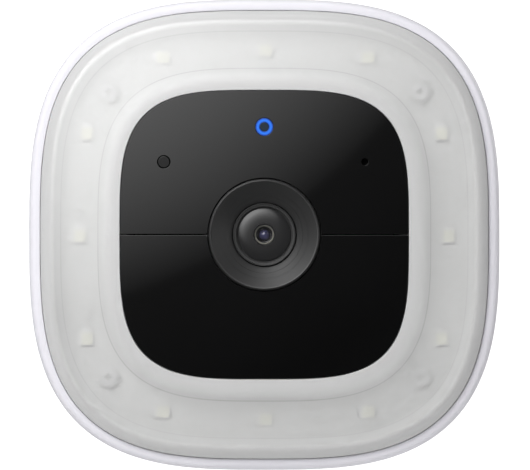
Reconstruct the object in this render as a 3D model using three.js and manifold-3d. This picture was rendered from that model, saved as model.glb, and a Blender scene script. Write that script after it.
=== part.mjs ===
// Floodlight security camera on a ball-joint wall bracket, as an assembly of named pieces.
//
// Millimetres, +Z up. The wall is the plane y = 0, with the origin at the centre of the bracket's
// wall face, and the camera looks along -Y. Pieces of the camera head are laid out by their depth
// behind the crown of its front face, so the head is a group whose own y is that depth.

import * as THREE from 'three';
import { mergeVertices } from 'three/addons/utils/BufferGeometryUtils.js';
import Module from 'manifold-3d';

const wasm = await Module();
wasm.setup();

// ---------------------------------------------------------------- driving dimensions

const GAP = 0.3; // clearance between neighbouring pieces

// The head: a rounded square seen from the front, tapering to a flat back.
const SHELL_HALF = 52; // half of the head's width and height
const SHELL_POWER = 3.06; // squareness of the outline at the rim
const DIFFUSER_HALF = 49.4;
const PANEL_HALF = 31.7; // half width of the black face panel
const PANEL_POWER = 3.7; // squareness of the face panel's outline
const FACE_CROWN = 0.8; // how far the crowned face falls from its middle to its edge
const COVER_ROUND = 3; // width of the rounding along the light cover's rim
const COVER_RIM_DEPTH = 5.2;
const HEAD_DEPTH = 58;
const RIM_DEPTH = 8; // depth at which the shell is widest
const BACK_HALF = 38; // half width of the flat back
const WALL = 2.6;
const LEDGE_HALF = 47.6; // inside half width of the shell behind the gasket ledge
const LEDGE_DEPTH = 15.6;

// Depths of the layers behind the face.
const PANEL_BACK = 3.1;
const CHIP_FRONT = 8.6;
const LED_BOARD_FRONT = 9.4;
const CHASSIS_FRONT = 12;
const CHASSIS_BACK = 14;
const FRONT_BOARD = 9;
const SENSOR_BOARD = 20.5;
const MAIN_BOARD = 24;
const CRADLE_FRONT = 29.6;
const CELL_AXIS = 40.2;

// Features of the face, measured from the lens axis.
const BEZEL_RADIUS = 12.5;
const STATUS_HEIGHT = 23.7; // the ring light above the lens
const SIDE_EYE = new THREE.Vector2(22.1, 16); // light sensor on the left, microphone on the right
const LAMP_RADIUS = 40.8; // half width of the outline that the twelve light chips sit on
const CORNER_LAMP = new THREE.Vector2(22.7, 39.2);
const CHASSIS_SCREW = new THREE.Vector2(34.5, 31.5);

// The battery: four 18650 cells side by side.
const CELL_RADIUS = 9.15;
const CELL_LENGTH = 65;
const CELL_PITCH = 18.7;

// The underside: speaker slots in front, charging port and button behind.
const SPEAKER_DEPTH = 25.5;
const PORT_DEPTH = 41;
const BUTTON_X = 16.5;

// The bracket.
const PLATE_HALF = 27;
const PLATE_THICKNESS = 5;
const BALL_Y = -18.5;
const BALL_RADIUS = 8;
const NECK_RADIUS = 3;
const STUD_RADIUS = 3.05; // a quarter-inch tripod screw
const BALL_TO_BACK = 18; // ball centre to the back of the head
const MOUTH_ANGLE = THREE.MathUtils.degToRad(60); // half angle of the socket's mouth

const HEAD_FRONT_Y = BALL_Y - BALL_TO_BACK - HEAD_DEPTH;

const SQUARE_SIDES = 36; // facets round a rounded-square outline
const CORNER_GATHER = 0.1; // how strongly those facets gather at the corners, in radians
const ROUND_SIDES = 18; // facets round a circle

// ---------------------------------------------------------------- finishes

const FINISHES = {
  white_shell: { color: 0xe9e8ee, roughness: 0.42, metalness: 0 },
  diffuser: { color: 0xdededc, roughness: 0.3, metalness: 0, transparent: true, opacity: 0.9 },
  reflector: { color: 0xf2f2f0, roughness: 0.6, metalness: 0 },
  face_gloss: { color: 0x0c0c0d, roughness: 0.08, metalness: 0 },
  bezel_satin: { color: 0x2b2b2c, roughness: 0.38, metalness: 0 },
  lens_black: { color: 0x151515, roughness: 0.35, metalness: 0 },
  glass: { color: 0x222630, roughness: 0.03, metalness: 0, transparent: true, opacity: 0.4 },
  status_blue: { color: 0x1d6bff, roughness: 0.3, metalness: 0, emissive: 0x1d6bff },
  board_white: { color: 0xe6e6e2, roughness: 0.5, metalness: 0 },
  board_green: { color: 0x14502c, roughness: 0.45, metalness: 0 },
  chip_black: { color: 0x17181a, roughness: 0.5, metalness: 0 },
  aluminium: { color: 0xb8bbbe, roughness: 0.4, metalness: 1 },
  steel: { color: 0xa9abad, roughness: 0.3, metalness: 1 },
  brass: { color: 0xc29a4a, roughness: 0.35, metalness: 1 },
  cell_wrap: { color: 0x2f6a4f, roughness: 0.4, metalness: 0 },
  silicone: { color: 0xdcdce0, roughness: 0.75, metalness: 0 },
  rubber: { color: 0x1c1c1d, roughness: 0.85, metalness: 0 },
  black_plastic: { color: 0x202122, roughness: 0.55, metalness: 0 },
};

const materials = Object.fromEntries(
  Object.entries(FINISHES).map(([name, look]) => [name, new THREE.MeshStandardMaterial(look)]),
);

// ---------------------------------------------------------------- shape helpers

/** A closed three.js geometry as a manifold solid. */
function solidOf(geometry) {
  const bare = geometry.clone();
  bare.deleteAttribute('normal');
  bare.deleteAttribute('uv');
  const merged = mergeVertices(bare, 1e-4);
  const corners = [];
  for (let i = 0; i < merged.index.count; i += 3) {
    const [a, b, c] = merged.index.array.slice(i, i + 3);
    if (a !== b && b !== c && c !== a) corners.push(a, b, c); // a pole leaves triangles of no area
  }
  return new wasm.Manifold(
    new wasm.Mesh({
      numProp: 3,
      vertProperties: merged.attributes.position.array,
      triVerts: new Uint32Array(corners),
    }),
  );
}

/** A manifold solid as a three.js geometry. */
function geometryOf(solid) {
  const mesh = solid.getMesh();
  const geometry = new THREE.BufferGeometry();
  geometry.setAttribute('position', new THREE.BufferAttribute(mesh.vertProperties, 3));
  geometry.setIndex(new THREE.BufferAttribute(mesh.triVerts, 1));
  geometry.computeVertexNormals();
  return geometry;
}

/** The first shape with the others joined to it. */
function join(first, ...others) {
  return geometryOf(others.reduce((sum, other) => sum.add(solidOf(other)), solidOf(first)));
}

/** The base with each tool cut out of it. */
function cut(base, ...tools) {
  return geometryOf(tools.reduce((left, tool) => left.subtract(solidOf(tool)), solidOf(base)));
}

/** What the base and the tool have in common. */
function common(base, tool) {
  return geometryOf(solidOf(base).intersect(solidOf(tool)));
}

/** A profile of [radius, y] pairs turned about the Y axis, its faces pointing out. */
function turned(profile, sides = ROUND_SIDES) {
  const points = profile.map(([radius, y]) => new THREE.Vector2(radius, y));
  if (THREE.ShapeUtils.area(points) < 0) points.reverse();
  return new THREE.LatheGeometry(points, sides);
}

/** A closed ring profile of [radius, y] pairs turned about the Y axis. */
function turnedRing(profile, sides = ROUND_SIDES) {
  const area = THREE.ShapeUtils.area(profile.map(([radius, y]) => new THREE.Vector2(radius, y)));
  const ordered = area < 0 ? [...profile].reverse() : [...profile];
  const points = [...ordered, ordered[0]].map(([radius, y]) => new THREE.Vector2(radius, y));
  return new THREE.LatheGeometry(points, sides);
}

/** Squareness of the outline whose half width is h: squarest at the face panel, rounder at the rim. */
function squareness(h) {
  const share = (h - PANEL_HALF) / (SHELL_HALF - PANEL_HALF);
  return THREE.MathUtils.lerp(PANEL_POWER, SHELL_POWER, THREE.MathUtils.clamp(share, 0, 1));
}

/** How far from the axis the rounded square of half width h reaches at an angle: a superellipse. */
function reach(h, angle) {
  const n = squareness(h);
  return h / (Math.abs(Math.cos(angle)) ** n + Math.abs(Math.sin(angle)) ** n) ** (1 / n);
}

/**
 * Carries each vertex of a turned shape out from its circle to the rounded square of that half width.
 * The vertices are gathered towards the corners, where the outline bends most.
 */
function squared(geometry) {
  const position = geometry.attributes.position;
  for (let i = 0; i < position.count; i += 1) {
    const h = Math.hypot(position.getX(i), position.getZ(i));
    if (h < 1e-6) continue;
    const even = Math.atan2(position.getZ(i), position.getX(i));
    const angle = even + CORNER_GATHER * Math.sin(4 * even);
    const radius = reach(h, angle);
    position.setX(i, radius * Math.cos(angle));
    position.setZ(i, radius * Math.sin(angle));
  }
  return geometry;
}

/** A rounded-square solid from a profile that starts and ends on the axis. */
const squareSolid = (profile) => squared(turned(profile, SQUARE_SIDES));

/** A rounded-square ring from a closed profile. */
const squareRing = (profile) => squared(turnedRing(profile, SQUARE_SIDES));

/** A flat rounded-square ring between two half widths and two depths. */
function flatRing(inner, outer, front, back) {
  return squareRing([[inner, front], [outer, front], [outer, back], [inner, back]]);
}

/** A box from its low and high x, y and z. */
function block([x0, x1], [y0, y1], [z0, z1]) {
  const box = new THREE.BoxGeometry(x1 - x0, y1 - y0, z1 - z0);
  return box.translate((x0 + x1) / 2, (y0 + y1) / 2, (z0 + z1) / 2);
}

/** A round bar along Y, from y0 to y1, at x and z. */
function rod(radius, y0, y1, x = 0, z = 0, sides = ROUND_SIDES) {
  return new THREE.CylinderGeometry(radius, radius, y1 - y0, sides).translate(x, (y0 + y1) / 2, z);
}

/** A round bar along Z, from z0 to z1, at x and y. */
function upright(radius, z0, z1, x = 0, y = 0, sides = ROUND_SIDES) {
  const bar = new THREE.CylinderGeometry(radius, radius, z1 - z0, sides).rotateX(Math.PI / 2);
  return bar.translate(x, y, (z0 + z1) / 2);
}

/** A slot with round ends, long in x and wide in y, from z0 to z1 in its own frame. */
function slot(length, width, z0, z1) {
  const straight = length / 2 - width / 2;
  const shape = new THREE.Shape();
  shape.absarc(straight, 0, width / 2, -Math.PI / 2, Math.PI / 2);
  shape.absarc(-straight, 0, width / 2, Math.PI / 2, (3 * Math.PI) / 2);
  const solid = new THREE.ExtrudeGeometry(shape, { depth: z1 - z0, bevelEnabled: false, curveSegments: 6 });
  return solid.translate(0, 0, z0);
}

/** An outline in y and z carried along x, from x0 to x1. */
function strip(points, x0, x1) {
  const shape = new THREE.Shape(points.map(([y, z]) => new THREE.Vector2(y, z)));
  const solid = new THREE.ExtrudeGeometry(shape, { depth: x1 - x0, bevelEnabled: false });
  const axes = new THREE.Matrix4().makeBasis(
    new THREE.Vector3(0, 1, 0), new THREE.Vector3(0, 0, 1), new THREE.Vector3(1, 0, 0));
  return solid.applyMatrix4(axes).translate(x0, 0, 0);
}

/** The four mirror images of a point. */
const corners = ({ x, y }) => [[x, y], [-x, y], [-x, -y], [x, -y]];

/** A named sub-part. */
function piece(name, finish, geometry, x = 0, y = 0, z = 0) {
  const mesh = new THREE.Mesh(geometry, materials[finish]);
  mesh.name = name;
  mesh.position.set(x, y, z);
  return mesh;
}

// ---------------------------------------------------------------- outer shell

/** Outside half width of the shell at a depth behind the rim: a long taper and a round shoulder. */
function shellHalf(depth) {
  const share = (depth - RIM_DEPTH) / (HEAD_DEPTH - RIM_DEPTH);
  return BACK_HALF + (SHELL_HALF - BACK_HALF) * (1 - Math.min(share, 1) ** 4.5) ** (1 / 2.2);
}

/** Inside half width of the shell at a depth behind the gasket ledge. */
const cavityHalf = (depth) => Math.min(LEDGE_HALF, shellHalf(depth + WALL) - WALL);

/** Slope of the shell's side at the charging port. */
const PORT_SLOPE = Math.atan2(shellHalf(PORT_DEPTH - 4) - shellHalf(PORT_DEPTH + 4), 8);

/** Moves a shape from the port's own frame, whose +Z points into the shell, to the head's. */
function atPort(geometry) {
  return geometry.rotateX(PORT_SLOPE).translate(0, PORT_DEPTH, -shellHalf(PORT_DEPTH));
}

/** Screw bosses that stand in the shell's corners, each tied to the wall by a web. */
function bosses() {
  const top = CHASSIS_BACK + GAP;
  const bottom = CRADLE_FRONT - 0.6;
  return corners(CHASSIS_SCREW).flatMap(([x, z]) => {
    const web = block([0, 9.5], [LEDGE_DEPTH + 2, bottom], [-1, 1]);
    web.rotateY(-Math.atan2(z, x)).translate(x, 0, z);
    return [rod(3.4, top, bottom, x, z, 16), web];
  });
}

function rearShell() {
  const outerDepths = [8, 24, 36, 45, 51, 55, HEAD_DEPTH];
  const innerDepths = [LEDGE_DEPTH, 40, 47, 52, HEAD_DEPTH - WALL];
  const lip = DIFFUSER_HALF + 0.35;
  const profile = [
    [0, HEAD_DEPTH],
    ...outerDepths.toReversed().map((d) => [shellHalf(d), d]),
    [51.6, 5.9],
    [50.7, 4.7],
    [lip, 5.1],
    [lip, LEDGE_DEPTH],
    ...innerDepths.map((d) => [cavityHalf(d), d]),
    [0, HEAD_DEPTH - WALL],
  ];
  const insertBoss = rod(9, HEAD_DEPTH - 7, HEAD_DEPTH - 1);
  const screwHoles = corners(CHASSIS_SCREW).map(([x, z]) => rod(1.5, CHASSIS_BACK, 27, x, z, 12));
  const slots = [-2, -1, 0, 1, 2].map((i) =>
    slot(14 - 2 * Math.abs(i), 1.6, -SHELL_HALF - 1, -LEDGE_HALF + 1)
      .translate(0, SPEAKER_DEPTH + 3.2 * i, 0));
  return cut(
    join(squareSolid(profile), insertBoss, ...bosses()),
    rod(5.8, HEAD_DEPTH - 8, HEAD_DEPTH + 1),
    ...screwHoles,
    ...slots,
    atPort(slot(21.8, 10, -2, 1.75)),
    atPort(slot(11.4, 5.8, -2, 8)),
    upright(2.9, -SHELL_HALF - 1, -45, BUTTON_X, PORT_DEPTH),
  );
}

function shellGasket() {
  return flatRing(LEDGE_HALF + 0.15, DIFFUSER_HALF, CHASSIS_BACK + GAP, LEDGE_DEPTH - GAP);
}

/** A threaded brass bush for the bracket's tripod screw. */
function threadInsert() {
  const front = HEAD_DEPTH - 6.6;
  return turnedRing([[3.4, front], [5.5, front], [5.5, HEAD_DEPTH], [3.4, HEAD_DEPTH]]);
}

// ---------------------------------------------------------------- chassis and light ring

/** The white frame that everything hangs on: a plate, the wall round the face, and its posts. */
function frontChassis() {
  const wall = 29.8;
  const top = PANEL_BACK + GAP;
  const plate = squareSolid([
    [0, CHASSIS_FRONT],
    [wall, CHASSIS_FRONT],
    [wall, top],
    [PANEL_HALF, top],
    [PANEL_HALF, CHASSIS_FRONT],
    [DIFFUSER_HALF, CHASSIS_FRONT],
    [DIFFUSER_HALF, CHASSIS_BACK],
    [0, CHASSIS_BACK],
  ]);
  const boardPosts = corners({ x: 20, y: 20 }).map(([x, z]) =>
    rod(1.8, FRONT_BOARD + 1.2 + GAP, CHASSIS_FRONT + 0.5, x, z, 10));
  const rearPosts = corners({ x: 25, y: 27 }).map(([x, z]) =>
    rod(2.2, CHASSIS_BACK - 0.5, MAIN_BOARD - GAP, x, z, 10));
  const screwHoles = corners(CHASSIS_SCREW).map(([x, z]) =>
    rod(1.6, CHASSIS_FRONT - 1, CHASSIS_BACK + 1, x, z, 12));
  return cut(
    join(plate, ...boardPosts, ...rearPosts),
    rod(8, CHASSIS_FRONT - 1, CHASSIS_BACK + 1),
    ...screwHoles,
  );
}

/** Depth of the head's crowned front at half width h: shared by the face panel and the light cover. */
const crownDepth = (h) => FACE_CROWN * (h / PANEL_HALF) ** 2;

/** Depth of the light cover's front at half width h: the crown, rounded down to its rim. */
function coverDepth(h) {
  const share = Math.max(0, h - DIFFUSER_HALF + COVER_ROUND) / COVER_ROUND;
  return crownDepth(h) + (COVER_RIM_DEPTH - crownDepth(h)) * (1 - Math.sqrt(1 - share ** 2));
}

/** The frosted light cover: a crowned ring with a short inner skirt and a long outer one. */
function lightDiffuser() {
  const inner = PANEL_HALF + GAP;
  const thickness = 1.8;
  const frontHalves = [inner + 0.3, 39.5, 46.4, 47.9, 48.9, DIFFUSER_HALF];
  const backHalves = [46.5, 41, 33.4];
  return squareRing([
    [inner, crownDepth(inner) + 0.3],
    ...frontHalves.map((h) => [h, coverDepth(h)]),
    [DIFFUSER_HALF, CHASSIS_FRONT - GAP],
    [48.7, CHASSIS_FRONT - GAP],
    [48.7, 8.6],
    [47.9, 8.6],
    [47.9, 6],
    ...backHalves.map((h) => [h, coverDepth(h) + thickness]),
    [33.4, 4],
    [inner, 4],
  ]);
}

/** Sloped white wall between the face and the light chips. */
function innerReflector() {
  return squareRing([[32.4, 4.4], [33.4, 4.4], [36.5, 9.1], [32.4, 9.1]]);
}

/** Sloped white wall between the light chips and the rim. */
function outerReflector() {
  return squareRing([[47.6, 6.3], [46.9, 6.3], [44.9, 9.1], [47.6, 9.1]]);
}

/** Places of the twelve light chips round the ring, as [x, z, turned on its side]. */
function lampPlaces() {
  const { x, y } = CORNER_LAMP;
  const upAndDown = [[0, LAMP_RADIUS], [0, -LAMP_RADIUS], ...corners({ x, y })];
  const leftAndRight = [[LAMP_RADIUS, 0], [-LAMP_RADIUS, 0], ...corners({ x: y, y: x })];
  return [...upAndDown.map((p) => [...p, false]), ...leftAndRight.map((p) => [...p, true])];
}

/** A flat ring under the light chips, drilled for the chassis screws. */
function lampRing(front, back) {
  const holes = corners(CHASSIS_SCREW).map(([x, z]) => rod(1.6, front - 1, back + 1, x, z, 12));
  return cut(flatRing(33.2, 48.3, front, back), ...holes);
}

/** The lamp board with its twelve surface-mounted light chips. */
function ledBoard() {
  const chips = lampPlaces().map(([x, z, turnedOver]) => {
    const [w, h] = turnedOver ? [2.8, 3.5] : [3.5, 2.8];
    return block([x - w / 2, x + w / 2], [CHIP_FRONT, LED_BOARD_FRONT + 0.1], [z - h / 2, z + h / 2]);
  });
  return join(lampRing(LED_BOARD_FRONT, LED_BOARD_FRONT + 1.2), ...chips);
}

/** Pan-head screw from the lamp board into a shell boss. */
function chassisScrew() {
  const head = LED_BOARD_FRONT - GAP;
  return turned([[0, head - 1.5], [2, head - 1.5], [2.4, head - 1], [2.4, head], [1.15, head],
    [1.15, 25.5], [0, 26]], 12);
}

// ---------------------------------------------------------------- black face

/** The whole face panel before it is split, with its round hole for the lens bezel. */
function wholeFace() {
  const halves = [0, 14, 24, PANEL_HALF - 0.5];
  const profile = [
    ...halves.map((h) => [h, crownDepth(h)]),
    [PANEL_HALF, FACE_CROWN + 0.4],
    [PANEL_HALF, PANEL_BACK],
    [0, PANEL_BACK],
  ];
  return cut(squareSolid(profile), rod(BEZEL_RADIUS + GAP, -1, 5, 0, 0, 32));
}

/** Upper face panel, drilled for the ring light, the light sensor and the microphone. */
function upperFacePanel() {
  const half = common(wholeFace(), block([-40, 40], [-1, 5], [0.15, 40]));
  return cut(
    half,
    rod(2.25, -1, 5, 0, STATUS_HEIGHT),
    rod(1.55, -1, 5, -SIDE_EYE.x, SIDE_EYE.y, 16),
    rod(0.78, -1, 5, SIDE_EYE.x, SIDE_EYE.y, 12),
  );
}

/** Lower face panel, which is also the window of the motion sensor. */
function lowerFacePanel() {
  return common(wholeFace(), block([-40, 40], [-1, 5], [-40, -0.15]));
}

/** Dished ring round the lens, with a flange that sits behind the face panels. */
function lensBezel() {
  return turnedRing([[BEZEL_RADIUS, 0.6], [12.1, 0.15], [11.6, 0.4], [7.3, 2.7], [7.3, 3.9],
    [13.6, 3.9], [13.6, 3.4], [BEZEL_RADIUS, 3.4]], 32);
}

// ---------------------------------------------------------------- lens and image sensor

function lensRing() {
  return turnedRing([[6, 2.5], [6.3, 2.2], [6.8, 2.2], [7, 2.5], [7, 3.1], [6, 3.1]], 24);
}

/** Bulging front glass. */
function lensDome() {
  return turned([[0, 1.6], [2, 1.75], [4, 2.2], [5.7, 2.95], [5.7, PANEL_BACK], [0, PANEL_BACK]], 24);
}

/** Lens barrel: a wide head with a conical mouth, and a threaded tail. */
function lensBarrel() {
  return turnedRing([[5.4, 3.4], [6.9, 3.4], [6.9, 8.6], [6, 8.6], [6, 17], [2.6, 17], [2.6, 6.4]], 20);
}

function innerLens() {
  return turned([[0, 6.9], [1.4, 7], [2.3, 7.4], [2.3, 8.9], [0, 8.9]], 20);
}

/** Lens holder: a threaded tower on a base that holds the filter slide and covers the sensor. */
function lensHolder() {
  const base = block([-9, 21], [CHASSIS_BACK + 0.4, SENSOR_BOARD - GAP], [-9, 9]);
  return cut(
    join(rod(7.5, 10.6, 15, 0, 0, 20), base),
    rod(6.4, 10, 17.5, 0, 0, 20),
    block([-8, 20], [17.3, 19], [-6.2, 6.2]),
    block([-5.5, 5.5], [18.5, 21], [-5, 5]),
  );
}

/** Sliding frame with the infrared-blocking glass. */
const filterCarrier = () => block([-6.2, 6.2], [17.6, 18.7], [-5.8, 5.8]);

const filterCoil = () => block([21.4, 25.4], [15, 19.5], [-4, 4]);

const imageSensor = () => block([-3.6, 3.6], [19.3, SENSOR_BOARD - GAP], [-2.9, 2.9]);

const sensorBoard = () => block([-11, 24], [SENSOR_BOARD, SENSOR_BOARD + 1.2], [-11, 11]);

/** Flat flex that steps back from the sensor board to the main board. */
function sensorRibbon() {
  const back = MAIN_BOARD - GAP;
  return strip([[21, -11.4], [21, -15], [back - 0.3, -19], [back - 0.3, -24], [back, -24],
    [back, -18.9], [21.3, -14.9], [21.3, -11.4]], -6, 2);
}

// ---------------------------------------------------------------- front board

function frontBoard() {
  const plate = squareSolid([[0, FRONT_BOARD], [28.8, FRONT_BOARD], [28.8, FRONT_BOARD + 1.2],
    [0, FRONT_BOARD + 1.2]]);
  const statusLed = block([-0.8, 0.8], [FRONT_BOARD - 0.5, FRONT_BOARD + 0.1],
    [STATUS_HEIGHT - 0.8, STATUS_HEIGHT + 0.8]);
  const onLeft = -SIDE_EYE.x;
  const lightSensor = block([onLeft - 1, onLeft + 1], [FRONT_BOARD - 0.5, FRONT_BOARD + 0.1],
    [SIDE_EYE.y - 1, SIDE_EYE.y + 1]);
  return join(cut(plate, rod(8.8, 8, 11, 0, 0, 20)), statusLed, lightSensor);
}

/** Light guide that shows as a ring on the face. */
function statusLightGuide() {
  const back = FRONT_BOARD - 0.8;
  return turned([[0, 0.85], [1.2, 0.85], [1.3, 0.6], [2, 0.6], [2, back], [0, back]], 20);
}

function lightSensorWindow() {
  return turned([[0, 0.65], [1.3, 0.65], [1.3, FRONT_BOARD - 0.8], [0, FRONT_BOARD - 0.8]], 16);
}

function micBoot() {
  return turnedRing([[0.8, 3.4], [1.8, 3.4], [1.8, 7.4], [0.8, 7.4]], 14);
}

const microphone = () => block([-1.9, 1.9], [7.7, FRONT_BOARD - GAP], [-1.4, 1.4]);

/** Metal can of the passive infrared motion sensor. */
function pirSensor() {
  return turned([[0, 4.5], [4, 4.5], [4.1, 8], [4.6, 8], [4.6, 8.7], [0, 8.7]], 20);
}

/** Domed infrared emitter. */
function irEmitter() {
  return turned([[0, 5.6], [1.1, 5.9], [1.9, 6.8], [2.3, 7], [2.3, 8.7], [0, 8.7]], 14);
}

// ---------------------------------------------------------------- boards and battery

const mainBoard = () => block([-30, 30], [MAIN_BOARD, MAIN_BOARD + 1.6], [-31, 31]);

const processorShield = () => block([-28, -2], [MAIN_BOARD + 1.9, MAIN_BOARD + 4.1], [-5, 17]);

const wifiAntenna = () => block([-17, 17], [30, 39], [42, 42.8]);

/** Open tray that holds the four cells. */
function batteryCradle() {
  return cut(
    block([-38.7, 38.7], [CRADLE_FRONT, 43], [-34.6, 34.6]),
    block([-37.5, 37.5], [CRADLE_FRONT + 1, 44], [-33.4, 33.4]),
  );
}

function batteryCell() {
  return upright(CELL_RADIUS, -CELL_LENGTH / 2, CELL_LENGTH / 2);
}

/** Nickel strip across the ends of the cells. */
const busbar = () => block([-36, 36], [CELL_AXIS - 4, CELL_AXIS + 4], [-0.15, 0.15]);

/** Lead from the cells' tray, round its side, to the main board. */
function batteryLead() {
  const route = new THREE.CatmullRomCurve3([
    new THREE.Vector3(31.4, 24.8, -8),
    new THREE.Vector3(36, 25.2, -7),
    new THREE.Vector3(41.5, 29, -5),
    new THREE.Vector3(43.2, 35, -3),
    new THREE.Vector3(42, 39.4, -2),
    new THREE.Vector3(39.2, 40, -2),
  ]);
  const section = new THREE.Shape().absarc(0, 0, 1.1, 0, 2 * Math.PI);
  const shape = { steps: 14, curveSegments: 4, bevelEnabled: false, extrudePath: route };
  return new THREE.ExtrudeGeometry(section, shape);
}

// ---------------------------------------------------------------- underside

const speakerMesh = () => upright(8.6, -47.2, -46.95, 0, SPEAKER_DEPTH);

function speaker() {
  const basket = upright(9, -46.6, -43.9, 0, SPEAKER_DEPTH);
  const magnet = upright(6, -44.2, -42, 0, SPEAKER_DEPTH);
  return join(basket, magnet);
}

const chargeBoard = () => block([-15, 21], [PORT_DEPTH + 3, PORT_DEPTH + 4.2], [-43.8, -36]);

/** Charging socket, open at its mouth. */
function usbSocket() {
  const back = PORT_DEPTH + 2.7;
  return cut(
    block([-4.5, 4.5], [back - 3.3, back], [-46.4, -39.2]),
    block([-4.1, 4.1], [back - 2.9, back - 0.4], [-47, -40]),
  );
}

const buttonSwitch = () =>
  block([BUTTON_X - 3, BUTTON_X + 3], [PORT_DEPTH - 2, PORT_DEPTH + 2.7], [-44, -41.2]);

/** Push button: a round cap through the shell, with a collar inside and a short plunger. */
function syncButton() {
  const face = -shellHalf(PORT_DEPTH) + 0.45;
  return join(
    upright(2.6, face, -45.5, 0, 0, 20),
    upright(3.4, -45.6, -45.1, 0, 0, 20),
    upright(1.2, -45.3, -44.9, 0, 0, 10),
  );
}

/** Silicone cover of the charging port, with the plug that seals it, in the port's own frame. */
function portFlap() {
  const cover = slot(21, 9.2, 0.05, 1.4);
  const plug = slot(10.2, 4, 1.2, 3);
  return join(cover, plug);
}

// ---------------------------------------------------------------- bracket

/** Countersunk hole for a screw driven from the front of the wall plate. */
function wallScrewHole(angle) {
  const [x, z] = [19 * Math.cos(angle), 19 * Math.sin(angle)];
  const sink = new THREE.CylinderGeometry(2.3, 4.6, 2.3, 16).translate(x, -PLATE_THICKNESS + 1.15, z);
  return join(rod(2.3, -PLATE_THICKNESS - 1, 1, x, z, 16), sink);
}

/** Countersunk hole for a post screw driven from the back of the wall plate. */
function postScrewHole(x) {
  const sink = new THREE.CylinderGeometry(3.5, 1.7, 2.1, 12).translate(x, -0.95, 0);
  return join(rod(1.5, -PLATE_THICKNESS - 1, 1, x, 0, 12), sink);
}

function wallPlate() {
  const plate = squareSolid([[0, 0], [PLATE_HALF, 0], [PLATE_HALF, -3.4], [26.1, -4.6],
    [24.6, -PLATE_THICKNESS], [0, -PLATE_THICKNESS]]);
  const aroundPost = [Math.PI / 2, (7 * Math.PI) / 6, (11 * Math.PI) / 6];
  return cut(plate, ...aroundPost.map(wallScrewHole), postScrewHole(6.5), postScrewHole(-6.5));
}

/** A point on a sphere about the ball's centre, at an angle from the socket's mouth, as [radius, y]. */
const onBall = (radius, angle) => [radius * Math.sin(angle), BALL_Y - radius * Math.cos(angle)];

/** Post with a slotted cup that grips the ball past its widest part. */
function ballSocket() {
  const foot = -PLATE_THICKNESS - GAP;
  const floor = BALL_Y + 9.9;
  const grip = BALL_RADIUS + 0.35;
  const cup = turned([
    [0, foot], [13, foot], [13, foot - 1.7], [12.4, foot - 2.2], [10.6, foot - 2.2],
    [10.6, BALL_Y - 2], [9.6, BALL_Y - 4.6], [8.2, BALL_Y - 5.3],
    onBall(grip, MOUTH_ANGLE), onBall(grip, MOUTH_ANGLE * 1.25), [8.5, BALL_Y], [8.5, floor], [0, floor],
  ]);
  const front = BALL_Y - 7;
  const slits = [
    block([-0.6, 0.6], [front, BALL_Y + 4], [-12, 12]),
    block([-12, 12], [front, BALL_Y + 4], [-0.6, 0.6]),
  ];
  const screwHoles = [-6.5, 6.5].map((x) => rod(1.4, floor + 0.2, foot + 1, x, 0, 12));
  return cut(cup, ...slits, ...screwHoles);
}

/** Self-tapping screw that holds the post to the wall plate. */
function postScrew() {
  return turned([[0, -0.25], [2.7, -0.25], [1.05, -1.9], [1.05, -7.6], [0, -8]], 12);
}

/** Rubber cup behind the ball. */
function frictionPad() {
  const hollow = [1, 0.85, 0.7].map((share) => onBall(BALL_RADIUS + 0.35, Math.PI * share));
  const back = BALL_Y + 9.6;
  return turned([[0, back], [8.1, back], [8.1, hollow[2][1]], hollow[2], hollow[1], hollow[0]]);
}

/** Ribbed ring that tightens the cup on the ball. */
function lockCollar() {
  const ribs = 20;
  const back = -PLATE_THICKNESS - 3.9;
  const collar = turnedRing([
    [10.95, back], [10.95, BALL_Y - 2.2], [10, BALL_Y - 4.95], [8.75, BALL_Y - 5.65],
    [8.75, BALL_Y - 6.4], [11.8, BALL_Y - 6.4], [13.3, BALL_Y - 5.2], [13.6, BALL_Y - 3.6],
    [13.6, back + 0.8], [12.8, back],
  ], 2 * ribs);
  const position = collar.attributes.position;
  for (let i = 0; i < position.count; i += 1) {
    const radius = Math.hypot(position.getX(i), position.getZ(i));
    if (radius < 13.2) continue;
    const angle = Math.atan2(position.getZ(i), position.getX(i));
    const scale = 1 - (0.35 * (1 - Math.cos(ribs * (angle - Math.PI / 2)))) / 2 / radius;
    position.setX(i, position.getX(i) * scale);
    position.setZ(i, position.getZ(i) * scale);
  }
  return collar;
}

/** Steel ball on a neck, with a flange and the tripod screw that the head turns on. */
function ballStud() {
  const neckAngle = Math.asin(NECK_RADIUS / BALL_RADIUS);
  const steps = 9;
  const ball = Array.from({ length: steps + 1 }, (_, i) =>
    onBall(BALL_RADIUS, THREE.MathUtils.lerp(Math.PI, neckAngle, i / steps)));
  ball[0][0] = 0;
  const flange = BALL_Y - 14;
  return turned([
    ...ball,
    [NECK_RADIUS, flange], [6.4, flange], [6.8, flange - 0.4], [6.8, flange - 2.2],
    [STUD_RADIUS, flange - 2.2], [STUD_RADIUS, flange - 8.4], [2.5, flange - 9], [0, flange - 9],
  ]);
}

function studWasher() {
  const back = BALL_Y - BALL_TO_BACK + 1.5;
  const front = BALL_Y - BALL_TO_BACK + GAP;
  return turnedRing([[3.5, back], [8, back], [8, front], [3.5, front]]);
}

// ---------------------------------------------------------------- assembly

function bracket() {
  const group = new THREE.Group();
  group.add(
    piece('wall_plate', 'white_shell', wallPlate()),
    piece('ball_socket', 'white_shell', ballSocket()),
    piece('post_screw_left', 'steel', postScrew(), -6.5),
    piece('post_screw_right', 'steel', postScrew(), 6.5),
    piece('lock_collar', 'white_shell', lockCollar()),
    piece('friction_pad', 'rubber', frictionPad()),
    piece('ball_stud', 'steel', ballStud()),
    piece('stud_washer', 'rubber', studWasher()),
  );
  return group;
}

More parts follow.
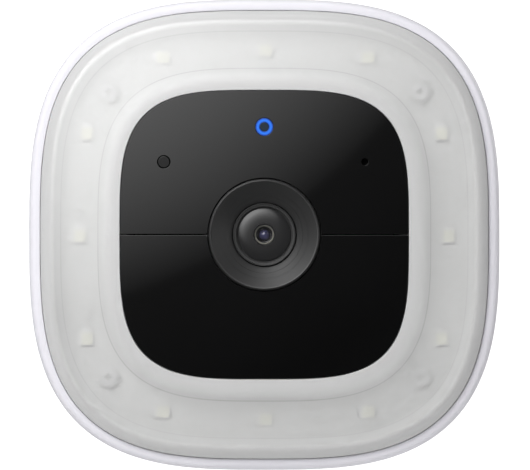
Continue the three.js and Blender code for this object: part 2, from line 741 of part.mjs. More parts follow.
function lightRing() {
  const group = new THREE.Group();
  group.add(
    piece('light_diffuser', 'diffuser', lightDiffuser()),
    piece('inner_reflector', 'reflector', innerReflector()),
    piece('outer_reflector', 'reflector', outerReflector()),
    piece('led_board', 'board_white', ledBoard()),
    piece('heat_spreader', 'aluminium', lampRing(LED_BOARD_FRONT + 1.5, CHASSIS_FRONT - GAP)),
  );
  corners(CHASSIS_SCREW).forEach(([x, z], i) => {
    group.add(piece(`chassis_screw_${i + 1}`, 'steel', chassisScrew(), x, 0, z));
  });
  return group;
}

function face() {
  const group = new THREE.Group();
  group.add(
    piece('upper_face_panel', 'face_gloss', upperFacePanel()),
    piece('lower_face_panel', 'face_gloss', lowerFacePanel()),
    piece('front_board', 'board_green', frontBoard()),
    piece('status_light_guide', 'status_blue', statusLightGuide(), 0, 0, STATUS_HEIGHT),
    piece('light_sensor_window', 'face_gloss', lightSensorWindow(), -SIDE_EYE.x, 0, SIDE_EYE.y),
    piece('mic_boot', 'rubber', micBoot(), SIDE_EYE.x, 0, SIDE_EYE.y),
    piece('microphone', 'chip_black', microphone(), SIDE_EYE.x, 0, SIDE_EYE.y),
    piece('pir_sensor', 'steel', pirSensor(), 0, 0, -20.5),
    piece('ir_emitter_left', 'glass', irEmitter(), -19, 0, -13),
    piece('ir_emitter_right', 'glass', irEmitter(), 19, 0, -13),
  );
  return group;
}

function lensUnit() {
  const group = new THREE.Group();
  group.add(
    piece('lens_bezel', 'bezel_satin', lensBezel()),
    piece('lens_ring', 'lens_black', lensRing()),
    piece('lens_dome', 'glass', lensDome()),
    piece('lens_barrel', 'lens_black', lensBarrel()),
    piece('inner_lens', 'glass', innerLens()),
    piece('lens_holder', 'black_plastic', lensHolder()),
    piece('filter_carrier', 'glass', filterCarrier()),
    piece('filter_coil', 'chip_black', filterCoil()),
    piece('image_sensor', 'chip_black', imageSensor()),
    piece('sensor_board', 'board_green', sensorBoard()),
    piece('sensor_ribbon', 'brass', sensorRibbon()),
  );
  return group;
}

function power() {
  const group = new THREE.Group();
  const endOfCells = CELL_LENGTH / 2 + GAP + 0.15;
  group.add(
    piece('battery_cradle', 'black_plastic', batteryCradle()),
    piece('busbar_top', 'steel', busbar(), 0, 0, endOfCells),
    piece('busbar_bottom', 'steel', busbar(), 0, 0, -endOfCells),
    piece('battery_lead', 'rubber', batteryLead()),
  );
  [-1.5, -0.5, 0.5, 1.5].forEach((place, i) => {
    group.add(piece(`battery_cell_${i + 1}`, 'cell_wrap', batteryCell(), CELL_PITCH * place, CELL_AXIS));
  });
  return group;
}

function electronics() {
  const group = new THREE.Group();
  group.add(
    piece('main_board', 'board_green', mainBoard()),
    piece('processor_shield', 'steel', processorShield()),
    piece('wifi_antenna', 'board_green', wifiAntenna()),
    piece('speaker', 'black_plastic', speaker()),
    piece('speaker_mesh', 'rubber', speakerMesh()),
    piece('charge_board', 'board_green', chargeBoard()),
    piece('usb_socket', 'steel', usbSocket()),
    piece('button_switch', 'chip_black', buttonSwitch()),
  );
  return group;
}

/** The charging port's cover, in a frame that lies on the shell's sloping underside. */
function port() {
  const group = new THREE.Group();
  group.position.set(0, PORT_DEPTH, -shellHalf(PORT_DEPTH));
  group.rotation.x = PORT_SLOPE;
  group.add(piece('port_flap', 'silicone', portFlap()));
  return group;
}

function head() {
  const group = new THREE.Group();
  group.position.y = HEAD_FRONT_Y;
  group.add(
    piece('rear_shell', 'white_shell', rearShell()),
    piece('shell_gasket', 'rubber', shellGasket()),
    piece('thread_insert', 'brass', threadInsert()),
    piece('front_chassis', 'reflector', frontChassis()),
    piece('sync_button', 'silicone', syncButton(), BUTTON_X, PORT_DEPTH),
    lightRing(), face(), lensUnit(), power(), electronics(), port(),
  );
  return group;
}

const camera = new THREE.Group();
camera.add(bracket(), head());

export default camera;
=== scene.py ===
"""Floodlight security camera: its finished surfaces, materials and studio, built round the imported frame.

Sizes are millimetres and are turned into metres when a mesh is made. The camera head is laid out by
depth behind the crown of its face, along +Y; x runs to the right and z up, seen from the front.
"""

import functools
import logging
import math
from collections.abc import Callable, Sequence
from dataclasses import dataclass, field, replace
from enum import Enum

import bmesh
import bpy
import numpy as np
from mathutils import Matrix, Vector
from mathutils.geometry import delaunay_2d_cdt


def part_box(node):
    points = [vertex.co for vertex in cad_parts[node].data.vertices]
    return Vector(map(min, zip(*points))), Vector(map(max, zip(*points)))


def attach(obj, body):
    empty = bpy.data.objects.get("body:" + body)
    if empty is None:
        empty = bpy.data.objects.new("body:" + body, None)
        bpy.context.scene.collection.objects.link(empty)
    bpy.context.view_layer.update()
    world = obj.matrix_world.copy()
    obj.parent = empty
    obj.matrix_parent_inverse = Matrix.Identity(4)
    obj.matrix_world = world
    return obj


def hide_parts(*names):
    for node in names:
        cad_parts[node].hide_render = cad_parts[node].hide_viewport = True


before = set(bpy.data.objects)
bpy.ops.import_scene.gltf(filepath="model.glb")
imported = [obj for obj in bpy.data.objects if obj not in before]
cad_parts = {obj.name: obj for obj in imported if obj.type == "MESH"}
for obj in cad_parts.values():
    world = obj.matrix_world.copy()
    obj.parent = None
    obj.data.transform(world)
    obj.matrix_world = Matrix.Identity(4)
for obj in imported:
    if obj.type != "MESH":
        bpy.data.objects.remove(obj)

LOG = logging.getLogger("camera")
MM = 0.001
FULL_TURN = 2 * math.pi

HEAD_DEPTH = 58.0
# Signs of x and z at the head's corners.
CORNERS = ((1, 1), (-1, 1), (-1, -1), (1, -1))
# Two ways to stand a shape made along y on the z axis.
UPRIGHT = np.array([[1, 0, 0], [0, 0, 1], [0, 1, 0]])
FACING_DOWN = np.array([[1, 0, 0], [0, 0, -1], [0, 1, 0]])

# Edges that meet at more than this are drawn sharp.
SHARP_ANGLE = math.radians(38)
# Half of a corner's angle, in radians, past which it isn't rounded.
NEARLY_STRAIGHT = 1.5
# The share of a side that an arc may take up, and the share of that which holds its shading.
LONGEST_TANGENT = 0.42
SHADING_HOLD = 0.15
# Shares of a plate's spacing: from row to row of its points, and between them and its edges.
ROW_SHARE = 0.87
RIM_CLEARANCE = 0.55
# Points nearer than the first are merged, and edges shorter than the second are dropped.
MERGE_DISTANCE = 2e-6
COLLAPSE_DISTANCE = 1e-7


class Body(Enum):
    """The bodies of the frame that pieces ride on."""

    BRACKET = "bracket"
    COLLAR = "collar"
    STUD = "stud"
    HEAD = "head"
    BUTTON = "button"
    FLAP = "flap"


class Slot(Enum):
    """The record's material slots."""

    WHITE_SHELL = "white_shell"
    DIFFUSER = "diffuser"
    REFLECTOR = "reflector"
    FACE_GLOSS = "face_gloss"
    BEZEL_SATIN = "bezel_satin"
    LENS_BLACK = "lens_black"
    GLASS = "glass"
    STATUS_BLUE = "status_blue"
    BOARD_WHITE = "board_white"
    BRASS = "brass"
    STEEL = "steel"
    SILICONE = "silicone"
    RUBBER = "rubber"
    BLACK_PLASTIC = "black_plastic"


# ---------------------------------------------------------------- surfaces


@dataclass(frozen=True)
class Surface:
    """Points in millimetres and the faces between them, before they become a mesh."""

    points: np.ndarray
    faces: tuple[np.ndarray, ...]

    def moved(self, x: float = 0.0, y: float = 0.0, z: float = 0.0) -> "Surface":
        """The surface carried along the three axes."""
        return replace(self, points=self.points + np.array([x, y, z]))

    def turned(self, matrix: np.ndarray) -> "Surface":
        """The surface with each point multiplied by a 3 by 3 matrix."""
        return replace(self, points=self.points @ np.asarray(matrix, float).T)

    def joined(self, *others: "Surface") -> "Surface":
        """This surface and others as one, without merging their points.

        Args:
            *others: the surfaces to join to it.

        Returns:
            The joined surface.
        """
        points, faces = [self.points], list(self.faces)
        start = len(self.points)
        for other in others:
            faces.extend(face + start for face in other.faces)
            points.append(other.points)
            start += len(other.points)
        return Surface(np.concatenate(points), tuple(faces))


def sheet(points: np.ndarray, close_rows: bool = False, close_columns: bool = False) -> Surface:
    """A grid of points with a quad between each four neighbours.

    Args:
        points: an array of rows by columns by 3.
        close_rows: whether the last row meets the first.
        close_columns: whether the last column meets the first.

    Returns:
        The surface.
    """
    rows, columns = points.shape[:2]
    row = np.arange(rows if close_rows else rows - 1)
    column = np.arange(columns if close_columns else columns - 1)
    i, j = np.meshgrid(row, column, indexing="ij")
    here, below = i * columns, (i + 1) % rows * columns
    beside = (j + 1) % columns
    quads = np.stack([here + j, here + beside, below + beside, below + j], -1)
    return Surface(points.reshape(-1, 3), (quads.reshape(-1, 4),))


def polar(radius: np.ndarray, along: np.ndarray | float, angle: np.ndarray) -> np.ndarray:
    """A grid of points about the Y axis: (radius * cos, along, radius * sin), an angle for each column."""
    along = np.broadcast_to(along, radius.shape)
    return np.stack([radius * np.cos(angle), along, radius * np.sin(angle)], -1)


def rounded(corners: Sequence[tuple[float, float, float]], closed: bool = False,
            steps: int = 5) -> np.ndarray:
    """A line through corners, each rounded by an arc that touches both of its sides.

    The arc's centre lies on the corner's bisector, its radius divided by the sine of half the angle
    away; one more point stands a little outside each end of the arc, so that shading stays on it.

    Args:
        corners: each corner as (across, along, radius); a radius of 0 keeps it sharp.
        closed: whether the line returns to its first corner.
        steps: how many chords an arc has.

    Returns:
        The line's points, one row each.
    """
    spots = np.array([corner[:2] for corner in corners], float)
    count = len(spots)
    line: list[np.ndarray] = []
    for i, (*_, radius) in enumerate(corners):
        here = spots[i]
        if radius <= 0 or (not closed and i in (0, count - 1)):
            line.append(here)
            continue
        to_last, to_next = spots[i - 1] - here, spots[(i + 1) % count] - here
        reach_back, reach_on = np.linalg.norm(to_last), np.linalg.norm(to_next)
        to_last, to_next = to_last / reach_back, to_next / reach_on
        half = 0.5 * math.acos(float(np.clip(to_last @ to_next, -1, 1)))
        if half > NEARLY_STRAIGHT:
            line.append(here)
            continue
        tangent = min(radius / math.tan(half), LONGEST_TANGENT * min(reach_back, reach_on))
        radius = tangent * math.tan(half)
        centre = here + (to_last + to_next) / np.linalg.norm(to_last + to_next) * radius / math.sin(half)
        first, last = here + to_last * tangent - centre, here + to_next * tangent - centre
        sweep = math.pi - 2 * half
        share = np.linspace(0, 1, steps + 1)[:, None]
        arc = (np.sin((1 - share) * sweep) * first + np.sin(share * sweep) * last) / math.sin(sweep)
        hold = SHADING_HOLD * tangent
        line.extend([here + to_last * (tangent + hold), *(centre + arc), here + to_next * (tangent + hold)])
    return np.array(line)


def refined(line: np.ndarray, step: float, closed: bool = False) -> np.ndarray:
    """A line with points added, so that no stretch of it is long.

    Args:
        line: its points, one row each.
        step: the longest stretch allowed.
        closed: whether the line returns to its first point.

    Returns:
        The points of the finer line.
    """
    ends = np.roll(line, -1, 0) if closed else line[1:]
    starts = line if closed else line[:-1]
    parts = [
        start + (end - start) * np.arange(count)[:, None] / count
        for start, end in zip(starts, ends)
        for count in [max(1, math.ceil(float(np.linalg.norm(end - start)) / step))]
    ]
    return np.concatenate(parts if closed else [*parts, line[-1:]])


@dataclass(frozen=True)
class RoundedSquare:
    """The head's family of outlines: superellipses, squarest at the face panel and rounder at the rim."""

    inner_half: float = 31.7
    inner_power: float = 3.7
    outer_half: float = 52.0
    outer_power: float = 3.06
    gather: float = 0.1

    def power(self, half: np.ndarray | float) -> np.ndarray:
        """The superellipse's exponent at a half width, blended along a straight line."""
        share = (np.asarray(half, float) - self.inner_half) / (self.outer_half - self.inner_half)
        return self.inner_power + (self.outer_power - self.inner_power) * np.clip(share, 0, 1)

    def angles(self, sides: int) -> np.ndarray:
        """Angles round the outline, gathered towards its corners."""
        even = np.arange(sides) * FULL_TURN / sides
        return even + self.gather * np.sin(4 * even)

    def reach(self, half: np.ndarray | float, angle: np.ndarray) -> np.ndarray:
        """Distance from the axis: half over (|cos|^n + |sin|^n)^(1/n)."""
        n = self.power(half)
        return half / (np.abs(np.cos(angle)) ** n + np.abs(np.sin(angle)) ** n) ** (1 / n)

    def loop(self, half: float, angle: np.ndarray) -> np.ndarray:
        """Points (x, z) of one outline at the given angles."""
        radius = self.reach(half, angle)
        return np.stack([radius * np.cos(angle), radius * np.sin(angle)], -1)

    def loft(self, profile: np.ndarray, sides: int = 288, closed: bool = False) -> Surface:
        """A profile of (half width, depth) carried round the outline.

        Args:
            profile: the profile's points; an open one starts and ends on the axis.
            sides: how many points go round.
            closed: whether the profile meets itself.

        Returns:
            The surface.
        """
        angle = self.angles(sides)
        radius = self.reach(profile[:, :1], angle[None, :])
        return sheet(polar(radius, profile[:, 1:], angle), close_rows=closed, close_columns=True)


OUTLINE = RoundedSquare()


def spun(profile: np.ndarray, sides: int = 128, closed: bool = False) -> Surface:
    """A profile turned about the Y axis.

    Args:
        profile: its points as (radius, y); an open one starts and ends on the axis.
        sides: how many points go round.
        closed: whether the profile meets itself.

    Returns:
        The surface.
    """
    angle = np.arange(sides) * FULL_TURN / sides
    radius = np.broadcast_to(profile[:, :1], (len(profile), sides))
    return sheet(polar(radius, profile[:, 1:], angle), close_rows=closed, close_columns=True)


def circle(radius: float, x: float = 0.0, z: float = 0.0, sides: int = 64, hole: bool = True) -> np.ndarray:
    """Points (x, z) of a circle, clockwise for a hole and counterclockwise for an outer edge."""
    angle = np.arange(sides) * FULL_TURN / sides * (-1 if hole else 1)
    return np.stack([x + radius * np.cos(angle), z + radius * np.sin(angle)], -1)


def stadium(length: float, width: float, sides: int = 48) -> np.ndarray:
    """A counterclockwise slot outline with round ends, long in x.

    Args:
        length: its whole length.
        width: its width, and its ends' diameter.
        sides: how many points go round.

    Returns:
        The points (x, z), one row each.
    """
    angle = (np.arange(sides) + 0.5) * FULL_TURN / sides
    straight = (length - width) / 2
    x = straight * np.sign(np.cos(angle)) + width / 2 * np.cos(angle)
    return np.stack([x, width / 2 * np.sin(angle)], -1)


def block(size: Sequence[float], radius: float, steps: int = 3) -> Surface:
    """A box with rounded edges, centred on the origin.

    A rounded rectangle in x and z is carried along y, drawn in by radius * (1 - cos) at both ends.

    Args:
        size: its width in x, y and z.
        radius: the radius of its edges.
        steps: chords in each quarter of an edge.

    Returns:
        The surface.
    """
    width, depth, height = size
    quarter = np.linspace(0, math.pi / 2, steps + 1)
    angle = np.concatenate([quarter + k * math.pi / 2 for k in range(4)])
    centre_x = np.sign(np.cos(angle.reshape(4, -1).mean(1))).repeat(steps + 1) * (width / 2 - radius)
    centre_z = np.sign(np.sin(angle.reshape(4, -1).mean(1))).repeat(steps + 1) * (height / 2 - radius)
    draw = np.concatenate([[0.0], radius * np.sin(quarter), radius * np.sin(quarter[::-1]), [0.0]])
    ease = radius * (1 - np.cos(quarter))
    along = np.concatenate([[-depth / 2], -depth / 2 + ease, depth / 2 - ease[::-1], [depth / 2]])
    x = centre_x + draw[:, None] * np.cos(angle)
    z = centre_z + draw[:, None] * np.sin(angle)
    x[[0, -1]], z[[0, -1]] = 0, 0
    grid = np.stack([x, np.broadcast_to(along[:, None], x.shape), z], -1)
    return sheet(grid, close_columns=True)


@dataclass(frozen=True)
class Edge:
    """One closed edge of a plate, and how its wall goes from front to back.

    The loop is counterclockwise round an outer edge and clockwise round a hole. The wall is a list
    of (inset, depth): how far into the material the wall stands, and how far behind the front.
    Softness scales the inset, as one value or one for each point: 0 leaves the edge sharp.
    """

    loop: np.ndarray
    wall: np.ndarray
    softness: np.ndarray | float = 1.0

    def inset(self, distance: float) -> np.ndarray:
        """The loop carried into the material, against its outward normal.

        Args:
            distance: how far, before the softness scales it.

        Returns:
            The points of the moved loop.
        """
        tangent = np.roll(self.loop, -1, 0) - np.roll(self.loop, 1, 0)
        normal = np.stack([tangent[:, 1], -tangent[:, 0]], -1)
        reach = distance * np.broadcast_to(self.softness, len(self.loop))
        return self.loop - reach[:, None] * normal / np.linalg.norm(normal, axis=1, keepdims=True)


def soft_wall(radius: float, thickness: float, back_radius: float = 0.0, steps: int = 4) -> np.ndarray:
    """A straight wall with quarter-round front and back edges.

    It starts a little inside the front edge, so that the shading of the flat front stays flat.

    Args:
        radius: the front edge's radius.
        thickness: the depth of the whole wall.
        back_radius: the back edge's radius; 0 keeps it sharp.
        steps: chords in each quarter round.

    Returns:
        The wall's points as (inset, depth), one row each.
    """
    quarter = np.linspace(0, math.pi / 2, steps + 1)
    front = np.stack([radius * (1 - np.sin(quarter)), radius * (1 - np.cos(quarter))], -1)
    front = np.concatenate([[[1.2 * radius, 0.0]], front])
    if back_radius <= 0:
        return np.concatenate([front, [[0.0, thickness]]])
    drop = thickness - back_radius * (1 - np.sin(quarter))
    back = np.stack([back_radius * (1 - np.cos(quarter)), drop], -1)
    return np.concatenate([front, back])


def inside(points: np.ndarray, loop: np.ndarray) -> np.ndarray:
    """Which points lie inside a loop: an odd number of its sides crosses a line to the right.

    Args:
        points: the points (x, z), one row each.
        loop: the loop's own points.

    Returns:
        One truth value for each point.
    """
    start, end = loop, np.roll(loop, -1, 0)
    above = points[:, 1:2]
    crosses = (start[:, 1] > above) != (end[:, 1] > above)
    rise = np.where(start[:, 1] == end[:, 1], 1.0, end[:, 1] - start[:, 1])
    at = start[:, 0] + (above - start[:, 1]) / rise * (end[:, 0] - start[:, 0])
    return (np.count_nonzero(crosses & (points[:, :1] < at), axis=1) % 2).astype(bool)


def tiled(loops: Sequence[np.ndarray], spacing: float) -> tuple[np.ndarray, np.ndarray]:
    """Triangles that fill the first loop and leave out the others.

    Points on a staggered grid are added inside, and a constrained Delaunay triangulation joins them.

    Args:
        loops: the outer loop, then any holes.
        spacing: the distance between grid points.

    Returns:
        The points, with the loops' own first and in order, and the triangles.
    """
    low, high = loops[0].min(0), loops[0].max(0)
    rows = np.arange(low[1], high[1], spacing * ROW_SHARE)
    columns = np.arange(low[0], high[0], spacing)
    x, z = np.meshgrid(columns, rows)
    x = x + (np.arange(len(rows)) % 2 * spacing / 2)[:, None]
    spots = np.stack([x.ravel(), z.ravel()], -1)
    rim = np.concatenate(loops)
    spots = spots[inside(spots, loops[0])]
    for hole in loops[1:]:
        spots = spots[~inside(spots, hole)]
    nearest = np.min(((spots[:, None] - rim[None]) ** 2).sum(-1), axis=1)
    spots = spots[nearest > (RIM_CLEARANCE * spacing) ** 2]
    points = np.concatenate([rim, spots])
    edges, start = [], 0
    for loop in loops:
        index = start + np.arange(len(loop))
        edges.extend(zip(index.tolist(), np.roll(index, -1).tolist()))
        start += len(loop)
    made = delaunay_2d_cdt([Vector(p) for p in points.tolist()], edges, [], 0, COLLAPSE_DISTANCE)
    found = np.array([list(v) for v in made[0]])
    if len(found) != len(points):
        raise ValueError("a plate's edges cross each other")
    triangles = np.array(made[2])
    middle = found[triangles].mean(1)
    kept = inside(middle, loops[0])
    for hole in loops[1:]:
        kept &= ~inside(middle, hole)
    return found, triangles[kept]


def level(depth: float) -> Callable[[np.ndarray], np.ndarray]:
    """A flat front for a plate, at one depth."""
    return lambda points: np.full(len(points), depth)


def plate(edges: Sequence[Edge], front: Callable[[np.ndarray], np.ndarray], thickness: float,
          spacing: float, flat_back: float | None = None) -> Surface:
    """A plate with shaped edges and holes.

    Its front is y = front(x, z), filled with triangles inside the edges' first insets; each wall is
    a band between successive insets; its back is filled in the same way.

    Args:
        edges: the outer edge, then any holes.
        front: gives the depth of the front at points (x, z).
        thickness: how far the back is behind the front.
        spacing: the distance between points across the faces.
        flat_back: the depth of a flat back, in place of one that follows the front.

    Returns:
        The surface.
    """

    def lift(points: np.ndarray, drop: float) -> np.ndarray:
        """Puts flat points at a depth behind the front.

        Args:
            points: the points (x, z).
            drop: how far behind the front they go.

        Returns:
            The points (x, y, z).
        """
        depth = front(points) + drop
        if flat_back is not None:
            ahead = front(points)
            depth = ahead + (flat_back - ahead) * (drop / thickness)
            depth = np.where(drop < thickness / 2, ahead + drop, depth)
        return np.stack([points[:, 0], depth, points[:, 1]], -1)

    parts = []
    for end in (0, -1):
        loops = [edge.inset(float(edge.wall[end, 0])) for edge in edges]
        points, triangles = tiled(loops, spacing)
        turned = triangles if end == 0 else triangles[:, ::-1]
        parts.append(Surface(lift(points, float(edges[0].wall[end, 1])), (turned,)))
    for edge in edges:
        bands = [lift(edge.inset(float(inset)), float(drop)) for inset, drop in edge.wall]
        parts.append(sheet(np.stack(bands), close_columns=True))
    return parts[0].joined(*parts[1:])


# ---------------------------------------------------------------- meshes


def mesh_of(surface: Surface, name: str) -> bpy.types.Mesh:
    """A mesh in metres, its doubles merged, its faces pointing out and its smooth faces smooth.

    Args:
        surface: its shape, in millimetres.
        name: its name.

    Returns:
        The mesh.
    """
    mesh = bpy.data.meshes.new(name)
    faces = [face for group in surface.faces for face in group.tolist()]
    mesh.from_pydata((surface.points * MM).tolist(), [], faces)
    work = bmesh.new()
    work.from_mesh(mesh)
    bmesh.ops.remove_doubles(work, verts=work.verts, dist=MERGE_DISTANCE)
    bmesh.ops.dissolve_degenerate(work, edges=work.edges, dist=COLLAPSE_DISTANCE)
    bmesh.ops.recalc_face_normals(work, faces=work.faces)
    work.to_mesh(mesh)
    work.free()
    mesh.shade_smooth()
    mesh.set_sharp_from_angle(angle=SHARP_ANGLE)
    return mesh


def solid(surface: Surface, name: str) -> bpy.types.Object:
    """A loose object of a surface, in the scene.

    Args:
        surface: its shape, in millimetres.
        name: its name.

    Returns:
        The object.
    """
    made = bpy.data.objects.new(name, mesh_of(surface, name))
    bpy.context.scene.collection.objects.link(made)
    return made


def carve(body: bpy.types.Object, cuts: Sequence[Surface], adds: Sequence[Surface] = ()) -> None:
    """Joins solids to an object and cuts others out of it, and leaves it one plain mesh.

    Args:
        body: the object.
        cuts: closed surfaces to cut out of it.
        adds: closed surfaces to join to it first.
    """
    tools = [(solid(add, "tool"), "UNION") for add in adds]
    tools += [(solid(cut, "tool"), "DIFFERENCE") for cut in cuts]
    for tool, operation in tools:
        change = body.modifiers.new("carve", "BOOLEAN")
        change.operation, change.solver, change.object = operation, "EXACT", tool
    bpy.context.view_layer.update()
    graph = bpy.context.evaluated_depsgraph_get()
    carved = bpy.data.meshes.new_from_object(body.evaluated_get(graph))
    body.modifiers.clear()
    body.data = carved
    carved.shade_smooth()
    carved.set_sharp_from_angle(angle=SHARP_ANGLE)
    for tool, _ in tools:
        bpy.data.objects.remove(tool)


@dataclass
class Maker:
    """Turns surfaces into named pieces that ride on the frame."""

    shift: float = 0.0

    def piece(self, surface: Surface, name: str, body: Body, finish: "Finish",
              stands_for: Sequence[str] = ()) -> bpy.types.Object:
        """One finished piece.

        Args:
            surface: its shape, in this maker's own frame.
            name: its name.
            body: the body it rides on.
            finish: its finish.
            stands_for: CAD nodes that it replaces.

        Returns:
            The object.
        """
        made = solid(surface.moved(y=self.shift), name)
        made.data.materials.append(finish.material())
        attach(made, body.value)
        if stands_for:
            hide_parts(*stands_for)
        LOG.info("%s: %d faces", name, len(made.data.polygons))
        return made


def head_front() -> float:
    """Where the crown of the face lies along Y, in millimetres."""
    return float(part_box("rear_shell")[1].y) / MM - HEAD_DEPTH


HEAD = Maker(shift=head_front())
BRACKET = Maker()


# ---------------------------------------------------------------- finishes


# Scales that leave the distance from the y axis, and how fine broad stains and specks are, per metre.
ACROSS_Y = (1, 0, 1)
BROAD_SCALE = 45.0
SPECK_SCALE = 900.0


class Wiring:
    """Adds and joins the nodes of one tree."""

    def __init__(self, tree: bpy.types.NodeTree) -> None:
        """Keeps the tree."""
        self.tree = tree

    def put(self, value: object, socket: bpy.types.NodeSocket) -> None:
        """Gives an input a link from another node's output, or else a fixed value.

        Args:
            value: the output or the value.
            socket: the input.
        """
        if isinstance(value, bpy.types.NodeSocket):
            self.tree.links.new(value, socket)
        else:
            socket.default_value = value

    def add(self, kind: str, **values: object) -> bpy.types.Node:
        """A new node.

        Args:
            kind: its type.
            **values: its properties, by name.

        Returns:
            The node.
        """
        node = self.tree.nodes.new(kind)
        for key, value in values.items():
            setattr(node, key, value)
        return node

    def feed(self, node: bpy.types.Node, **inputs: object) -> None:
        """Sets a node's inputs, from values or from other nodes' outputs.

        Args:
            node: the node.
            **inputs: what each input gets, by its name with underscores for spaces.
        """
        for key, value in inputs.items():
            name = key.replace("_", " ")
            self.put(value, next(s for s in node.inputs if s.name == name and s.enabled))

    def maths(self, operation: str, *inputs: object) -> bpy.types.NodeSocket:
        """The result of a Math node.

        Args:
            operation: what it does.
            *inputs: values or other nodes' outputs.

        Returns:
            Its output.
        """
        node = self.add("ShaderNodeMath", operation=operation)
        for socket, value in zip(node.inputs, inputs):
            self.put(value, socket)
        return node.outputs[0]

    def ranged(self, value: bpy.types.NodeSocket, low: float, high: float, to_low: float,
               to_high: float, smooth: bool = False) -> bpy.types.NodeSocket:
        """A value carried from one range to another, and held at its ends.

        Args:
            value: the output to carry over.
            low: where its range starts.
            high: where its range ends.
            to_low: what low becomes.
            to_high: what high becomes.
            smooth: whether it eases in and out.

        Returns:
            The output that holds the result.
        """
        node = self.add("ShaderNodeMapRange", interpolation_type="SMOOTHSTEP" if smooth else "LINEAR")
        self.feed(node, Value=value, From_Min=low, From_Max=high, To_Min=to_low, To_Max=to_high)
        return node.outputs["Result"]

    def noise(self, vector: bpy.types.NodeSocket, scale: object, detail: float = 2.0) -> bpy.types.NodeSocket:
        """Smooth noise from 0 to 1.

        Args:
            vector: where it is read.
            scale: how fine it is, per metre.
            detail: how many finer layers it has.

        Returns:
            The output that holds it.
        """
        node = self.add("ShaderNodeTexNoise")
        self.feed(node, Vector=vector, Scale=scale, Detail=detail)
        return node.outputs["Fac"]

    def place(self, scale: Sequence[float] = (1, 1, 1),
              centre: Sequence[float] = (0, 0, 0)) -> bpy.types.NodeSocket:
        """Object coordinates, measured from a centre and then stretched.

        Args:
            scale: the stretch along each axis.
            centre: the point that becomes the origin, in metres.

        Returns:
            The output that holds them.
        """
        where = self.add("ShaderNodeTexCoord").outputs["Object"]
        away = self.add("ShaderNodeVectorMath", operation="SUBTRACT")
        self.put(where, away.inputs[0])
        self.put(centre, away.inputs[1])
        stretched = self.add("ShaderNodeVectorMath", operation="MULTIPLY")
        self.put(away.outputs[0], stretched.inputs[0])
        self.put(scale, stretched.inputs[1])
        return stretched.outputs[0]

    def length(self, vector: bpy.types.NodeSocket) -> bpy.types.NodeSocket:
        """How long a vector is.

        Args:
            vector: the output that holds it.

        Returns:
            The output that holds its length.
        """
        node = self.add("ShaderNodeVectorMath", operation="LENGTH")
        self.put(vector, node.inputs[0])
        return node.outputs["Value"]

    def split(self, vector: bpy.types.NodeSocket) -> Sequence[bpy.types.NodeSocket]:
        """A vector's x, y and z.

        Args:
            vector: the output that holds it.

        Returns:
            Three outputs.
        """
        node = self.add("ShaderNodeSeparateXYZ")
        self.put(vector, node.inputs[0])
        return node.outputs

    def mixed(self, share: object, low: object, high: object) -> bpy.types.NodeSocket:
        """A colour between two others.

        Args:
            share: 0 for the first colour, up to 1 for the second.
            low: the first colour.
            high: the second colour.

        Returns:
            The output that holds it.
        """
        node = self.add("ShaderNodeMix", data_type="RGBA")
        for index, value in ((0, share), (6, low), (7, high)):
            self.put(value, node.inputs[index])
        return node.outputs[2]


class Kind(Enum):
    """The patterns that finishes share, each one node group."""

    MOULDED = "moulded_grain"
    TURNED = "turning_marks"
    ROLLED = "rolled_grain"
    TRACKS = "board_tracks"
    WOVEN = "woven_cloth"
    MACHINED = "machined_grain"


def group_tree(name: str, inputs: dict[str, float], outputs: Sequence[str]) -> tuple[Wiring, dict, dict]:
    """A new node group with named float sockets.

    Args:
        name: the group's name.
        inputs: each input's name and usual value.
        outputs: the outputs' names.

    Returns:
        Its wiring, its input sockets by name, and its output node's sockets by name.
    """
    tree = bpy.data.node_groups.new(name, "ShaderNodeTree")
    for key, value in inputs.items():
        socket = tree.interface.new_socket(name=key, in_out="INPUT", socket_type="NodeSocketFloat")
        socket.default_value = value
    for key in outputs:
        tree.interface.new_socket(name=key, in_out="OUTPUT", socket_type="NodeSocketFloat")
    wiring = Wiring(tree)
    given, made = wiring.add("NodeGroupInput"), wiring.add("NodeGroupOutput")
    return wiring, {k: given.outputs[k] for k in inputs}, {k: made.inputs[k] for k in outputs}


